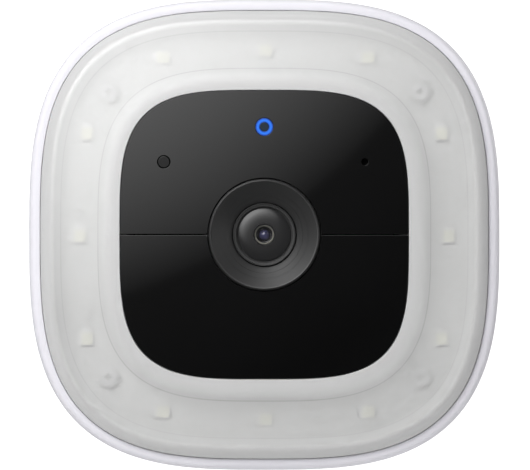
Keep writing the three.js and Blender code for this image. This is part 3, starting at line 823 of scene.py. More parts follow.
@functools.cache
def pattern(kind: Kind) -> bpy.types.NodeTree:
    """The node group of a pattern, built once.

    Its Height is for bump, its Mottle varies colour and gloss, and its Mark is a sparse mask.

    Args:
        kind: which pattern.

    Returns:
        The group.
    """
    wiring, given, made = group_tree(kind.value, {"Scale": 2500.0}, ("Height", "Mottle", "Mark"))
    link = wiring.tree.links.new
    here = wiring.place()
    broad = wiring.noise(here, BROAD_SCALE, 3.0)
    link(wiring.ranged(broad, 0.3, 0.7, 0.0, 1.0), made["Mottle"])
    specks = wiring.add("ShaderNodeTexVoronoi")
    wiring.feed(specks, Vector=here, Scale=SPECK_SCALE)
    link(wiring.ranged(specks.outputs["Distance"], 0.05, 0.12, 1.0, 0.0), made["Mark"])
    scale = given["Scale"]
    match kind:
        case Kind.MOULDED:
            fine = wiring.noise(here, scale, 3.0)
            coarse = wiring.noise(here, wiring.maths("MULTIPLY", scale, 0.22), 2.0)
            shares = [wiring.maths("MULTIPLY", fine, 0.7), wiring.maths("MULTIPLY", coarse, 0.3)]
            height = wiring.maths("ADD", *shares)
        case Kind.TURNED:
            radius = wiring.add("ShaderNodeCombineXYZ")
            link(wiring.length(wiring.place(scale=ACROSS_Y)), radius.inputs[0])
            height = wiring.noise(radius.outputs[0], scale, 2.0)
        case Kind.ROLLED:
            height = wiring.noise(wiring.place(scale=(0.06, 1, 1)), scale, 3.0)
        case Kind.TRACKS:
            cells = wiring.add("ShaderNodeTexVoronoi", feature="F1", distance="CHEBYCHEV")
            wiring.feed(cells, Vector=here, Scale=scale)
            bands = wiring.maths("PINGPONG", wiring.maths("MULTIPLY", cells.outputs["Distance"], 6.0), 1.0)
            height = wiring.ranged(bands, 0.35, 0.5, 0.0, 1.0)
        case Kind.WOVEN:
            x, y, _ = wiring.split(here)
            waves = [wiring.maths("SINE", wiring.maths("MULTIPLY", across, scale)) for across in (x, y)]
            height = wiring.ranged(wiring.maths("MULTIPLY", *waves), -1.0, 1.0, 0.0, 1.0)
        case Kind.MACHINED:
            height = wiring.noise(wiring.place(scale=(1, 0.1, 1)), scale, 2.0)
    link(height, made["Height"])
    return wiring.tree


MADE: dict[str, bpy.types.Material] = {}


@dataclass(frozen=True)
class Finish:
    """A procedural finish: a colour, a gloss and one of the shared patterns at its own scale."""

    name: str
    colour: tuple[float, float, float]
    roughness: float = 0.4
    metallic: float = 0.0
    kind: Kind = Kind.MOULDED
    scale: float = 2500.0
    bump: float = 0.01
    mottle: float = 0.03
    gloss_spread: float = 0.04
    mark: float = 0.0
    mark_colour: tuple[float, float, float] = (0.5, 0.5, 0.5)
    fixed: dict[str, float] = field(default_factory=dict, hash=False)

    def material(self) -> bpy.types.Material:
        """The finish's material, made once."""
        return MADE.get(self.name) or self.build()

    def build(self) -> bpy.types.Material:
        """Makes the material: the pattern feeds its colour, roughness and bump.

        What is the same all over is set on the shader's own sockets.

        Returns:
            The material.
        """
        made = MADE[self.name] = bpy.data.materials.new(self.name)
        made.use_nodes = True
        made.node_tree.nodes.clear()
        wiring = Wiring(made.node_tree)
        shader = wiring.add("ShaderNodeBsdfPrincipled")
        end = wiring.add("ShaderNodeOutputMaterial")
        wiring.tree.links.new(shader.outputs[0], end.inputs[0])
        marks = wiring.add("ShaderNodeGroup")
        marks.node_tree = pattern(self.kind)
        marks.inputs["Scale"].default_value = self.scale
        dark = tuple(c * (1 - self.mottle) for c in self.colour)
        light = tuple(min(1.0, c * (1 + self.mottle)) for c in self.colour)
        colour = wiring.mixed(marks.outputs["Mottle"], (*dark, 1.0), (*light, 1.0))
        if self.mark > 0:
            share = wiring.maths("MULTIPLY", self.mark_source(marks), self.mark)
            colour = wiring.mixed(share, colour, (*self.mark_colour, 1.0))
        low, high = self.roughness - self.gloss_spread, self.roughness + self.gloss_spread
        rough = wiring.ranged(marks.outputs["Mottle"], 0.0, 1.0, max(low, 0.0), min(high, 1.0))
        wiring.feed(shader, Base_Color=colour, Roughness=rough, Metallic=self.metallic)
        if self.bump > 0:
            bump = wiring.add("ShaderNodeBump")
            wiring.feed(bump, Height=marks.outputs["Height"], Strength=1.0, Distance=self.bump * MM)
            wiring.tree.links.new(bump.outputs[0], shader.inputs["Normal"])
        for key, value in self.fixed.items():
            shader.inputs[key].default_value = value
        self.extra(wiring, shader)
        return made

    def mark_source(self, marks: bpy.types.Node) -> bpy.types.NodeSocket:
        """Which mask the marks follow: specks, or the pattern itself on boards."""
        return marks.outputs["Height" if self.kind in (Kind.TRACKS, Kind.WOVEN) else "Mark"]

    def extra(self, wiring: Wiring, shader: bpy.types.Node) -> None:
        """Room for a finish to add to its material."""


@dataclass(frozen=True)
class Glow(Finish):
    """A finish that shines with its own light."""

    light: tuple[float, float, float] = (1.0, 1.0, 1.0)
    strength: float = 1.0
    dimmest: float = 0.75

    def extra(self, wiring: Wiring, shader: bpy.types.Node) -> None:
        """Sets the emission, a little uneven as a light guide's is.

        Args:
            wiring: the material's nodes.
            shader: its shader.
        """
        uneven = wiring.ranged(wiring.noise(wiring.place(), SPECK_SCALE, 1.0), 0.3, 0.7, 0.0, 1.0)
        dim = tuple(c * self.dimmest for c in self.light)
        wiring.feed(shader, Emission_Color=wiring.mixed(uneven, (*dim, 1.0), (*self.light, 1.0)))
        shader.inputs["Emission Strength"].default_value = self.strength


@dataclass(frozen=True)
class RingGlow(Glow):
    """A ring-shaped light guide, brightest midway between its two edges."""

    height: float = 23.7
    middle: float = 1.45
    reach: float = 0.48
    edge_light: tuple[float, float, float] = (0.0, 0.02, 0.15)

    def extra(self, wiring: Wiring, shader: bpy.types.Node) -> None:
        """Feeds the emission from the distance to the middle of the ring.

        Args:
            wiring: the material's nodes.
            shader: its shader.
        """
        radius = wiring.length(wiring.place(scale=ACROSS_Y, centre=(0, 0, self.height * MM)))
        away = wiring.maths("ABSOLUTE", wiring.maths("SUBTRACT", radius, self.middle * MM))
        share = wiring.ranged(away, 0.0, self.reach * MM, 1.0, 0.0, smooth=True)
        wiring.feed(shader, Emission_Color=wiring.mixed(share, (*self.edge_light, 1.0), (*self.light, 1.0)))
        shader.inputs["Emission Strength"].default_value = self.strength


@dataclass(frozen=True)
class OneSidedGlow(Glow):
    """A glowing finish that is seen from its front only."""

    def extra(self, wiring: Wiring, shader: bpy.types.Node) -> None:
        """Adds an alpha that is nothing on the back.

        Args:
            wiring: the material's nodes.
            shader: its shader.
        """
        super().extra(wiring, shader)
        turned_away = wiring.add("ShaderNodeNewGeometry").outputs["Backfacing"]
        wiring.feed(shader, Alpha=wiring.maths("SUBTRACT", 1.0, turned_away))


@dataclass(frozen=True)
class ClearedGlass(Finish):
    """Dark coated glass whose middle is clear: alpha rises from clear to 1 across a thin ring."""

    clear_radius: float = 2.5
    clearness: float = 0.85
    fade: float = 1.25

    def extra(self, wiring: Wiring, shader: bpy.types.Node) -> None:
        """Feeds the alpha from the distance to the lens axis.

        Args:
            wiring: the material's nodes.
            shader: its shader.
        """
        radius = wiring.length(wiring.place(scale=ACROSS_Y))
        edge = self.clear_radius * MM
        alpha = wiring.ranged(radius, edge, edge * self.fade, 1 - self.clearness, 1.0, smooth=True)
        wiring.feed(shader, Alpha=alpha)


@dataclass(frozen=True)
class FrostedPlastic(Finish):
    """Milky plastic, partly seen through and denser near both edges, with painted shade there and two painted
    shadow lines.

    Only a wall's near side veils what lies behind it. The distance out to a rounded square is
    (|x|^n + |z|^n)^(1/n), with one exponent between its inner and its outer edge's.
    """

    veil: float = 0.46
    dense: float = 0.97
    # Darker colour near the face and the rim: painted shade, where the face's edge and the rim shade the
    # cover.
    edge_shade_colour: tuple[float, float, float] = (0.575, 0.575, 0.575)
    dense_gloss: float = 0.12
    power: float = 3.3
    inner_edge: tuple[float, float] = (32.6, 36.4)
    outer_edge: tuple[float, float] = (46.0, 47.8)
    # Painted shadow lines, as (half width, strength): thin dark rings where the trough's walls meet the lamp
    # board.
    steps: tuple[tuple[float, float], ...] = ((36.6, 0.3), (44.8, 0.14))
    shadow_line_width: float = 0.2
    shadow_line_colour: tuple[float, float, float] = (0.2, 0.2, 0.2)

    def extra(self, wiring: Wiring, shader: bpy.types.Node) -> None:
        """Feeds the colour with its painted shade and shadow lines, the coat, and the alpha, which is nothing
        on faces turned away.

        Args:
            wiring: the material's nodes.
            shader: its shader.
        """
        x, _, z = wiring.split(wiring.place(scale=(1 / MM,) * 3))
        powers = [wiring.maths("POWER", wiring.maths("ABSOLUTE", across), self.power) for across in (x, z)]
        half = wiring.maths("POWER", wiring.maths("ADD", *powers), 1 / self.power)
        near_face = wiring.ranged(half, *self.inner_edge, 1.0, 0.0, smooth=True)
        near_rim = wiring.ranged(half, *self.outer_edge, 0.0, 1.0, smooth=True)
        # How dense the cover is near its edges; this also sets how far painted shade darkens its colour
        # there.
        thick = wiring.maths("MAXIMUM", near_face, near_rim)
        turned_away = wiring.add("ShaderNodeNewGeometry").outputs["Backfacing"]
        veiled = wiring.ranged(thick, 0.0, 1.0, self.veil, self.dense)
        alpha = wiring.maths("MULTIPLY", wiring.maths("SUBTRACT", 1.0, turned_away), veiled)
        # Painted shade: the colour darkens towards the face and the rim.
        colour = wiring.mixed(thick, (*self.colour, 1.0), (*self.edge_shade_colour, 1.0))
        # Painted shadows of the trough walls' feet, drawn as thin dark lines in the colour.
        for step, shade in self.steps:
            away = wiring.maths("ABSOLUTE", wiring.maths("SUBTRACT", half, step))
            line = wiring.ranged(away, 0.0, self.shadow_line_width, shade, 0.0, smooth=True)
            colour = wiring.mixed(line, colour, (*self.shadow_line_colour, 1.0))
        gloss = wiring.ranged(thick, 0.0, 1.0, 1.0, self.dense_gloss)
        wiring.feed(shader, Alpha=alpha, Base_Color=colour, Coat_Weight=gloss)


WHITE_CASE = Finish("white_case", (0.765, 0.755, 0.805), 0.36, scale=4200.0, bump=0.006, mottle=0.008,
                    fixed={"IOR": 1.33})
FROSTED = FrostedPlastic(
    "frosted_plastic", (0.76, 0.76, 0.76), 0.55, scale=2600.0, bump=0.0, mottle=0.01,
    fixed={"Coat Roughness": 0.02, "Coat IOR": 2.4, "IOR": 1.4},
)
REFLECTOR_WHITE = Finish("reflector_white", (0.80, 0.80, 0.795), 0.6, scale=3500.0, bump=0.006, mottle=0.012)
PIANO_BLACK = Finish("piano_black", (0.0025, 0.0025, 0.0026), 0.018, bump=0.0, mottle=0.1, gloss_spread=0.006)
SATIN_BEZEL = Finish(
    "satin_bezel", (0.019, 0.019, 0.0193), 0.44, kind=Kind.TURNED, scale=1500.0, bump=0.004, mottle=0.04,
    fixed={"IOR": 1.64},
)
ANODISED = Finish("anodised_black", (0.02, 0.02, 0.0204), 0.46, kind=Kind.TURNED, scale=2500.0, bump=0.006)
SEAT_BLACK = Finish("seat_black", (0.012, 0.012, 0.014), 0.14, kind=Kind.TURNED, scale=5000.0, bump=0.002)
FRONT_GLASS = ClearedGlass("coated_glass", (0.019, 0.019, 0.0195), 0.15, bump=0.0, mottle=0.05,
                           clear_radius=2.1, fixed={"IOR": 1.5})
PUPIL_GLASS = Finish(
    "pupil_glass", (0.13, 0.13, 0.29), 0.08, bump=0.0,
    fixed={"Coat Weight": 1.0, "Coat Roughness": 0.03, "IOR": 2.0},
)
BRONZE_RING = Finish("bronze_ring", (0.56, 0.54, 0.47), 0.4, 0.1, kind=Kind.TURNED, scale=9000.0, bump=0.002)
STATUS_GLOW = RingGlow("status_glow", (0.005, 0.03, 0.2), 0.3, bump=0.0, light=(0.004, 0.17, 0.80))
STATUS_CORE = Glow("status_core", (0.004, 0.006, 0.008), 0.1, bump=0.0, light=(0.003, 0.014, 0.028))
LAMP_BOARD = Finish("white_resist", (0.74, 0.74, 0.73), 0.42, kind=Kind.TRACKS, scale=160.0, bump=0.012,
                    mottle=0.02, mark=0.05, mark_colour=(0.62, 0.63, 0.60))
CHIP_BODY = Finish("chip_body", (0.83, 0.83, 0.83), 0.4, scale=9000.0, bump=0.002, mottle=0.02)
PHOSPHOR = Finish("phosphor", (0.89, 0.885, 0.745), 0.5, scale=16000.0, bump=0.003, mottle=0.04)
SOLDER = Finish("solder", (0.75, 0.75, 0.76), 0.28, 1.0, scale=5000.0, bump=0.003)
GREEN_BOARD = Finish("green_resist", (0.012, 0.11, 0.035), 0.36, kind=Kind.TRACKS, scale=420.0, bump=0.02,
                     mottle=0.08, mark=0.6, mark_colour=(0.03, 0.2, 0.06))
CHIP_BLACK = Finish("moulded_package", (0.018, 0.018, 0.02), 0.5, scale=12000.0, bump=0.004, mark=0.2)
SHEET_METAL = Finish("rolled_sheet", (0.72, 0.73, 0.74), 0.38, 1.0, kind=Kind.ROLLED, scale=6000.0,
                     bump=0.004)
ZINC_STEEL = Finish("zinc_plated", (0.62, 0.63, 0.65), 0.27, 1.0, kind=Kind.MACHINED, scale=7000.0,
                    bump=0.003, mottle=0.06)
SATIN_NICKEL = Finish("satin_nickel", (0.76, 0.76, 0.755), 0.5, 0.2, kind=Kind.MACHINED, scale=7000.0,
                      bump=0.003)
TURNED_BRASS = Finish("turned_brass", (0.72, 0.52, 0.2), 0.3, 1.0, kind=Kind.TURNED, scale=8000.0, bump=0.004,
                      mottle=0.08)
CELL_WRAP = Finish("cell_wrap", (0.03, 0.19, 0.12), 0.3, scale=700.0, bump=0.02, mottle=0.06)
SOFT_SILICONE = Finish("soft_silicone", (0.66, 0.66, 0.70), 0.62, scale=5200.0, bump=0.008, mottle=0.02,
                       mark=0.25, mark_colour=(0.5, 0.5, 0.52))
BLACK_RUBBER = Finish("black_rubber", (0.016, 0.016, 0.017), 0.8, scale=3800.0, bump=0.012, mottle=0.15,
                      mark=0.2, mark_colour=(0.08, 0.08, 0.08))
BLACK_NYLON = Finish("black_nylon", (0.02, 0.02, 0.021), 0.5, scale=3600.0, bump=0.01, mottle=0.1)
GRILLE_CLOTH = Finish("grille_cloth", (0.012, 0.012, 0.013), 0.75, kind=Kind.WOVEN, scale=18000.0, bump=0.06,
                      mark=0.5, mark_colour=(0.05, 0.05, 0.052))
FLEX = Finish("flex_film", (0.55, 0.28, 0.05), 0.3, kind=Kind.TRACKS, scale=700.0, bump=0.004, mark=0.4,
              mark_colour=(0.7, 0.42, 0.12))
PALE_FLOOR = OneSidedGlow("pale_floor", (0.85, 0.85, 0.85), 0.8, bump=0.0, mottle=0.0, strength=0.38)


# ---------------------------------------------------------------- the outer case


@dataclass
class Case:
    """The white housing with its openings, and what sits in them."""

    rim_half: float = 52.0
    rim_depth: float = 8.0
    back_half: float = 38.0
    side_flatness: float = 4.5
    shoulder_roundness: float = 2.2
    crest_half: float = 50.3
    crest_depth: float = 4.75
    wall: float = 2.6
    lip_start: float = 49.9
    lip_half: float = 49.5
    ledge_half: float = 47.6
    ledge_depth: float = 15.6
    speaker_depth: float = 25.5
    slot_pitch: float = 3.2
    port_depth: float = 41.0
    socket_shift: float = 1.05
    button_x: float = 16.5

    def half_at(self, depth: np.ndarray | float) -> np.ndarray:
        """Outside half width behind the rim: back + (rim - back) * (1 - share^flatness)^(1 / roundness).

        Args:
            depth: how far behind the crown of the face.

        Returns:
            The half width there.
        """
        share = np.clip((np.asarray(depth, float) - self.rim_depth) / (HEAD_DEPTH - self.rim_depth), 0, 1)
        fall = (1 - share**self.side_flatness) ** (1 / self.shoulder_roundness)
        return self.back_half + (self.rim_half - self.back_half) * fall

    def slope(self) -> float:
        """Angle of the underside at the charging port, as a fall towards the back."""
        ahead, behind = self.half_at(self.port_depth - 4), self.half_at(self.port_depth + 4)
        return math.atan2(float(ahead - behind), 8)

    def at_port(self, surface: Surface) -> Surface:
        """Carries a surface from the port's own frame to the head's.

        Args:
            surface: its shape, with +z pointing into the case.

        Returns:
            The carried surface.
        """
        cos, sin = math.cos(self.slope()), math.sin(self.slope())
        tilt = np.array([[1, 0, 0], [0, cos, -sin], [0, sin, cos]])
        return surface.turned(tilt).moved(y=self.port_depth, z=-float(self.half_at(self.port_depth)))

    def profile(self) -> np.ndarray:
        """The case's section: a round shoulder at the back and an elliptic rim in front.

        Inside, it has a lip round the cover and a ledge for the gasket.

        Returns:
            Its points as (half width, depth).
        """
        share = np.sin(np.linspace(0, math.pi / 2, 44)) ** 0.9
        depth = self.rim_depth + (HEAD_DEPTH - self.rim_depth) * share[::-1]
        outer = np.stack([self.half_at(depth), depth], -1)
        turn = np.linspace(0, math.pi / 2, 12)[1:]
        front, edge = self.crest_depth, self.lip_half
        rim = np.stack([self.crest_half + (self.rim_half - self.crest_half) * np.cos(turn) ** 0.75,
                        self.rim_depth - (self.rim_depth - front) * np.sin(turn) ** 0.9], -1)
        lip = np.array([[self.lip_start, front], [edge + 0.13, front + 0.02], [edge + 0.04, front + 0.06],
                        [edge, front + 0.15], [edge, 6.0], [edge, 10.0]])
        ledge = np.array([[edge, self.ledge_depth], [self.ledge_half, self.ledge_depth],
                          [self.ledge_half, 20.0]])
        inner_depth = np.linspace(24, HEAD_DEPTH - self.wall, 24)
        inner_half = np.minimum(self.ledge_half, self.half_at(inner_depth + self.wall) - self.wall)
        inner = np.stack([inner_half, inner_depth], -1)
        across = np.linspace(self.back_half, 0, 12)[:, None]
        back = np.concatenate([across[::-1], np.full_like(across, HEAD_DEPTH)], 1)[:-1]
        inside_across = np.linspace(float(inner_half[-1]), 0, 10)[1:, None]
        floor = np.concatenate([inside_across, np.full_like(inside_across, HEAD_DEPTH - self.wall)], 1)
        return np.concatenate([back, outer, rim, lip, ledge, inner, floor])

    def slot_cutter(self, loop: np.ndarray, surface_z: float, low: float, high: float,
                    flare: float) -> Surface:
        """A cutter along z whose section opens out by a quarter round where it meets the outside.

        Args:
            loop: its section, counterclockwise.
            surface_z: where the outside is.
            low: where it starts, outside the case.
            high: where it ends, inside.
            flare: the quarter round's radius.

        Returns:
            The cutter.
        """
        turn = np.linspace(0, math.pi / 2, 5)
        grow = np.concatenate([[flare], flare * (1 - np.sin(turn)), [0.0]])
        along = np.concatenate([[low], surface_z + flare * (1 - np.cos(turn)), [high]])
        edge = Edge(loop, np.zeros((1, 2)))
        rings = [edge.inset(-float(g)) for g in grow]
        cap = loop.mean(0)[None].repeat(len(loop), 0)
        bands = [np.column_stack([ring, np.full(len(ring), z)]) for ring, z in
                 zip([cap, *rings, cap], [low, *along, high])]
        return sheet(np.stack(bands), close_columns=True)

    def cutters(self) -> list[Surface]:
        """Everything cut out of the case: speaker slots, port recess and well, button hole, screw hole.

        Returns:
            The cutters, in the head's own frame.
        """
        cuts = []
        for step in range(-2, 3):
            loop = stadium(14 - 2 * abs(step), 1.6)
            depth = self.speaker_depth + self.slot_pitch * step
            surface_z = -float(self.half_at(depth))
            slot = self.slot_cutter(loop, surface_z, -self.rim_half - 1, -self.ledge_half + 1, 0.3)
            cuts.append(slot.moved(y=depth))
        cuts.append(self.at_port(self.slot_cutter(stadium(21.8, 10.0, 96), 0.05, -2, 1.75, 0.3)))
        cuts.append(self.at_port(self.slot_cutter(stadium(11.4, 5.8, 64), 1.7, 1.0, 8, 0.2)))
        hole = circle(2.9, sides=64, hole=False)
        button_z = -float(self.half_at(self.port_depth)) + 0.5
        button = self.slot_cutter(hole, button_z, -self.rim_half - 1, -45, 0.3)
        cuts.append(button.moved(x=self.button_x, y=self.port_depth))
        end = HEAD_DEPTH
        screw = rounded([(0, end - 8, 0), (5.8, end - 8, 0), (5.8, end - 0.3, 0), (6.2, end + 0.1, 0),
                         (6.2, end + 1, 0), (0, end + 1, 0)])
        cuts.append(spun(screw, 96))
        return cuts

    def housing(self) -> None:
        """The case itself, with the boss round its screw bush."""
        made = HEAD.piece(OUTLINE.loft(self.profile(), 320), "white_housing", Body.HEAD,
                          WHITE_CASE, ["rear_shell"])
        boss = rounded([(0, 51, 0), (9, 51, 0.4), (9, 57, 0), (0, 57, 0)])
        shift = HEAD.shift
        carve(made, [cut.moved(y=shift) for cut in self.cutters()], [spun(boss, 96).moved(y=shift)])

    def flap(self) -> None:
        """Silicone cover of the port: a crowned lid with a thumb lip and, inside, a plug."""

        def crown(points: np.ndarray) -> np.ndarray:
            """Depth of the lid's front, a shallow parabola along x."""
            return 0.08 + 0.0011 * points[:, 0] ** 2

        outline = refined(stadium(21.0, 9.2, 120), 0.4, True)
        lid = plate([Edge(outline, soft_wall(0.45, 1.32))], crown, 1.32, 0.6, 1.4)
        plug = plate([Edge(stadium(10.2, 4.0, 64), soft_wall(0.3, 1.7))], level(0.0), 1.7, 0.6)
        lip = block((5.0, 0.5, 0.7), 0.22).moved(y=-0.02, z=-3.2)
        shaped = lid.joined(lip).turned(FACING_DOWN)
        inner = plug.turned(FACING_DOWN @ np.diag([1, -1, 1])).moved(z=3.0)
        HEAD.piece(self.at_port(shaped.joined(inner)), "port_cover", Body.FLAP, SOFT_SILICONE,
                   ["port_flap"])

    def button(self) -> None:
        """Round push button with a dished top and a stop collar inside."""
        face = -float(self.half_at(self.port_depth)) + 0.45
        profile = rounded([(0, face + 0.25, 0), (1.6, face + 0.16, 0.5), (2.6, face, 0.3), (2.6, -45.5, 0.1),
                           (3.4, -45.5, 0.1), (3.4, -45.1, 0.1), (1.2, -45.1, 0.1), (1.2, -44.9, 0.1),
                           (0, -44.9, 0)])
        shape = spun(profile, 64).turned(UPRIGHT).moved(x=self.button_x, y=self.port_depth)
        HEAD.piece(shape, "push_button", Body.BUTTON, SOFT_SILICONE, ["sync_button"])

    def socket(self) -> None:
        """Charging socket: a rolled steel mouth round a contact tongue."""
        length = 7.2
        wall = soft_wall(0.08, length)
        edges = [Edge(stadium(9.0, 3.3, 64), wall), Edge(stadium(8.3, 2.6, 64)[::-1], wall)]
        shell = plate(edges, level(0.0), length, 0.4)
        centre = self.port_depth + self.socket_shift
        HEAD.piece(shell.turned(UPRIGHT).moved(y=centre, z=-46.4), "socket_mouth", Body.HEAD,
                   ZINC_STEEL, ["usb_socket"])
        tongue = block((6.6, 0.7, 5.6), 0.15).moved(y=centre, z=-42.6)
        HEAD.piece(tongue, "socket_tongue", Body.HEAD, BLACK_NYLON)
        floor = block((8.2, 2.5, 0.6), 0.1).moved(y=centre, z=-39.6)
        HEAD.piece(floor, "socket_floor", Body.HEAD, BLACK_NYLON)

    def build(self) -> None:
        """Makes the case and everything in its openings."""
        self.housing()
        self.flap()
        self.button()
        self.socket()


# ---------------------------------------------------------------- the light ring


@dataclass
class LightRing:
    """The frosted cover and the lit trough behind it."""

    panel_half: float = 31.7
    cover_half: float = 49.36
    crown_drop: float = 0.8
    wall: float = 1.8
    wall_limit: float = 5.4
    round_width: float = 2.7
    round_power: float = 2.2
    rim_depth: float = 3.75
    lip_radius: float = 0.15
    chip_reach: float = 40.8
    corner_chip: tuple[float, float] = (22.7, 39.2)
    screw: tuple[float, float] = (34.5, 31.5)
    board_front: float = 9.4

    def cover(self) -> None:
        """The frosted cover: the face's paraboloid crown, rounded down to one depth all along its rim."""
        inner = self.panel_half + 0.12
        front_half = np.concatenate([
            inner + self.lip_radius * (1 - np.cos(np.linspace(0, math.pi / 2, 5))),
            np.linspace(inner + 0.3, self.cover_half - self.round_width, 26),
            self.cover_half - self.round_width + self.round_width * np.linspace(0, 1, 14)[1:],
        ])
        edge_drop = np.zeros_like(front_half)
        edge_drop[:5] = self.lip_radius * (1 - np.sin(np.linspace(0, math.pi / 2, 5)))
        skirt = [(self.cover_half, self.rim_depth + 0.2), (self.cover_half, 11.7), (48.7, 11.7),
                 (48.7, 8.6), (47.9, 8.6), (47.9, 6.2)]
        back_half = np.linspace(46.9, 33.5, 14)
        foot = [(33.4, 4.0), (inner, 4.0)]
        angle = OUTLINE.angles(320)
        half = np.concatenate([front_half, [p[0] for p in skirt], back_half, [p[0] for p in foot]])[:, None]
        radius = OUTLINE.reach(half, angle[None, :])
        crown = self.crown_drop * (radius / self.panel_half) ** 2
        share = np.clip((half - self.cover_half + self.round_width) / self.round_width, 0, 1)
        front = crown + (self.rim_depth - crown) * share**self.round_power
        front[:len(edge_drop)] += edge_drop[:, None]
        depth = front.copy()
        first_skirt, first_back = len(front_half), len(front_half) + len(skirt)
        depth[first_skirt:first_back] = np.array([p[1] for p in skirt])[:, None]
        first_foot = first_back + len(back_half)
        depth[first_back:first_foot] = np.minimum(crown[first_back:first_foot] + self.wall, self.wall_limit)
        depth[first_foot:] = np.array([p[1] for p in foot])[:, None]
        shape = sheet(polar(radius, depth, angle), True, True)
        HEAD.piece(shape, "frosted_cover", Body.HEAD, FROSTED, ["light_diffuser"])

    def reflectors(self) -> None:
        """The trough's two sloped walls, as rounded-square rings."""
        inner = rounded([(32.4, 4.4, 0.1), (33.4, 4.4, 0.4), (36.5, 9.1, 0.1), (32.4, 9.1, 0.1)], True)
        outer = rounded([(47.6, 6.3, 0.1), (46.9, 6.3, 0.3), (44.9, 9.1, 0.1), (47.6, 9.1, 0.1)], True)
        for name, line, node in (("inner_trough_wall", inner, "inner_reflector"),
                                 ("outer_trough_wall", outer, "outer_reflector")):
            HEAD.piece(OUTLINE.loft(refined(line, 0.8, True), closed=True), name, Body.HEAD,
                       REFLECTOR_WHITE, [node])

    def board(self) -> None:
        """The lamp board: a rounded-square ring drilled for the four screws."""
        angle, thickness = OUTLINE.angles(320), 1.2
        wall = soft_wall(0.1, thickness, 0.1, 2)
        x, z = self.screw
        holes = [Edge(circle(1.6, sx * x, sz * z, 40), wall) for sx in (1, -1) for sz in (1, -1)]
        edges = [Edge(OUTLINE.loop(48.3, angle), wall), Edge(OUTLINE.loop(33.2, angle)[::-1], wall), *holes]
        shape = plate(edges, level(self.board_front), thickness, 1.4)
        HEAD.piece(shape, "lamp_board", Body.HEAD, LAMP_BOARD, ["led_board"])

    def chip_places(self) -> list[tuple[float, float, bool]]:
        """Places of the twelve light chips: one on each side, and two near each corner.

        Returns:
            Each chip's x and z, and whether it is turned on its side.
        """
        x, z = self.corner_chip
        reach = self.chip_reach
        upright = [(0.0, reach), (0.0, -reach), *((sx * x, sz * z) for sx, sz in CORNERS)]
        sideways = [(reach, 0.0), (-reach, 0.0), *((sx * z, sz * x) for sx, sz in CORNERS)]
        return [(*p, False) for p in upright] + [(*p, True) for p in sideways]

    def chips(self) -> None:
        """Twelve light chips: a white body, a square of phosphor set in it, and two solder feet."""
        quarter = np.array([[0, 0, 1], [0, 1, 0], [-1, 0, 0]])
        body = block((3.5, 0.75, 2.8), 0.12)
        glow = block((2.6, 0.12, 2.4), 0.05).moved(x=0.3, y=-0.39)
        foot = block((0.5, 0.4, 2.2), 0.08)
        feet = foot.moved(x=-1.85, y=0.2).joined(foot.moved(x=1.85, y=0.2))
        parts = [(body, "chip_body", Slot.BOARD_WHITE, CHIP_BODY),
                 (glow, "chip_phosphor", Slot.BOARD_WHITE, PHOSPHOR),
                 (feet, "chip_feet", Slot.STEEL, SOLDER)]
        for number, (x, z, sideways) in enumerate(self.chip_places(), 1):
            for part, name, slot, finish in parts:
                shape = part.turned(quarter) if sideways else part
                placed = shape.moved(x, self.board_front - 0.4, z)
                HEAD.piece(placed, f"{name}_{number}", Body.HEAD, finish)

    def resistors(self) -> None:
        """Pairs of small resistors beside the chips, all one piece."""
        parts = []
        for x, z, sideways in self.chip_places():
            along = np.array([0.0, 1.0]) if sideways else np.array([1.0, 0.0])
            for side in (4.4, 5.9):
                spot = np.array([x, z]) + side * along * (-1 if (x + z) > 0 else 1)
                size = (1.2, 0.45, 0.6) if sideways else (0.6, 0.45, 1.2)
                parts.append(block(size, 0.08).moved(spot[0], self.board_front - 0.2, spot[1]))
        HEAD.piece(parts[0].joined(*parts[1:]), "lamp_resistors", Body.HEAD, CHIP_BODY)

    def screws(self) -> None:
        """Four pan-head screws with cross recesses."""
        head = self.board_front - 0.3
        profile = rounded([(0, head - 1.5, 0), (1.7, head - 1.5, 0.5), (2.4, head - 0.8, 0.3),
                           (2.4, head, 0.1), (1.15, head, 0), (1.15, 25.3, 0.2), (0, 26, 0)])
        for number, (sx, sz) in enumerate(CORNERS, 1):
            x, z = sx * self.screw[0], sz * self.screw[1]
            made = HEAD.piece(spun(profile, 48).moved(x=x, z=z), f"trough_screw_{number}", Body.HEAD,
                              SATIN_NICKEL, [f"chassis_screw_{number}"])
            carve(made, [cut.moved(x, head - 1.5 + HEAD.shift, z) for cut in cross_recess(1.15, 0.9, 0.5)])

    def build(self) -> None:
        """Makes the cover and everything behind it."""
        self.cover()
        self.reflectors()
        self.board()
        self.chips()
        self.resistors()
        self.screws()


def cross_recess(reach: float, depth: float, width: float, into: int = 1) -> list[Surface]:
    """Two tapered bars that cut a screwdriver's cross into a screw's head, from y = 0.

    Args:
        reach: each arm's length.
        depth: how deep the cross goes.
        width: each arm's width.
        into: 1 to cut along +y, -1 along -y.

    Returns:
        The two cutters.
    """
    corner = np.array([[-1, -1], [1, -1], [1, 1], [-1, 1]], float)
    levels = [(-0.3, 1.0), (depth, 0.35)]
    bars = []
    for long_x in (True, False):
        rings = []
        for along, share in levels:
            half = np.array([reach * share, width / 2 * (0.6 + 0.4 * share)])
            flat = corner * (half if long_x else half[::-1])
            rings.append(np.column_stack([flat[:, 0], np.full(4, along * into), flat[:, 1]]))
        caps = [np.broadcast_to(ring.mean(0), ring.shape) for ring in rings]
        bars.append(sheet(np.stack([caps[0], *rings, caps[1]]), close_columns=True))
    return bars


# ---------------------------------------------------------------- the black face


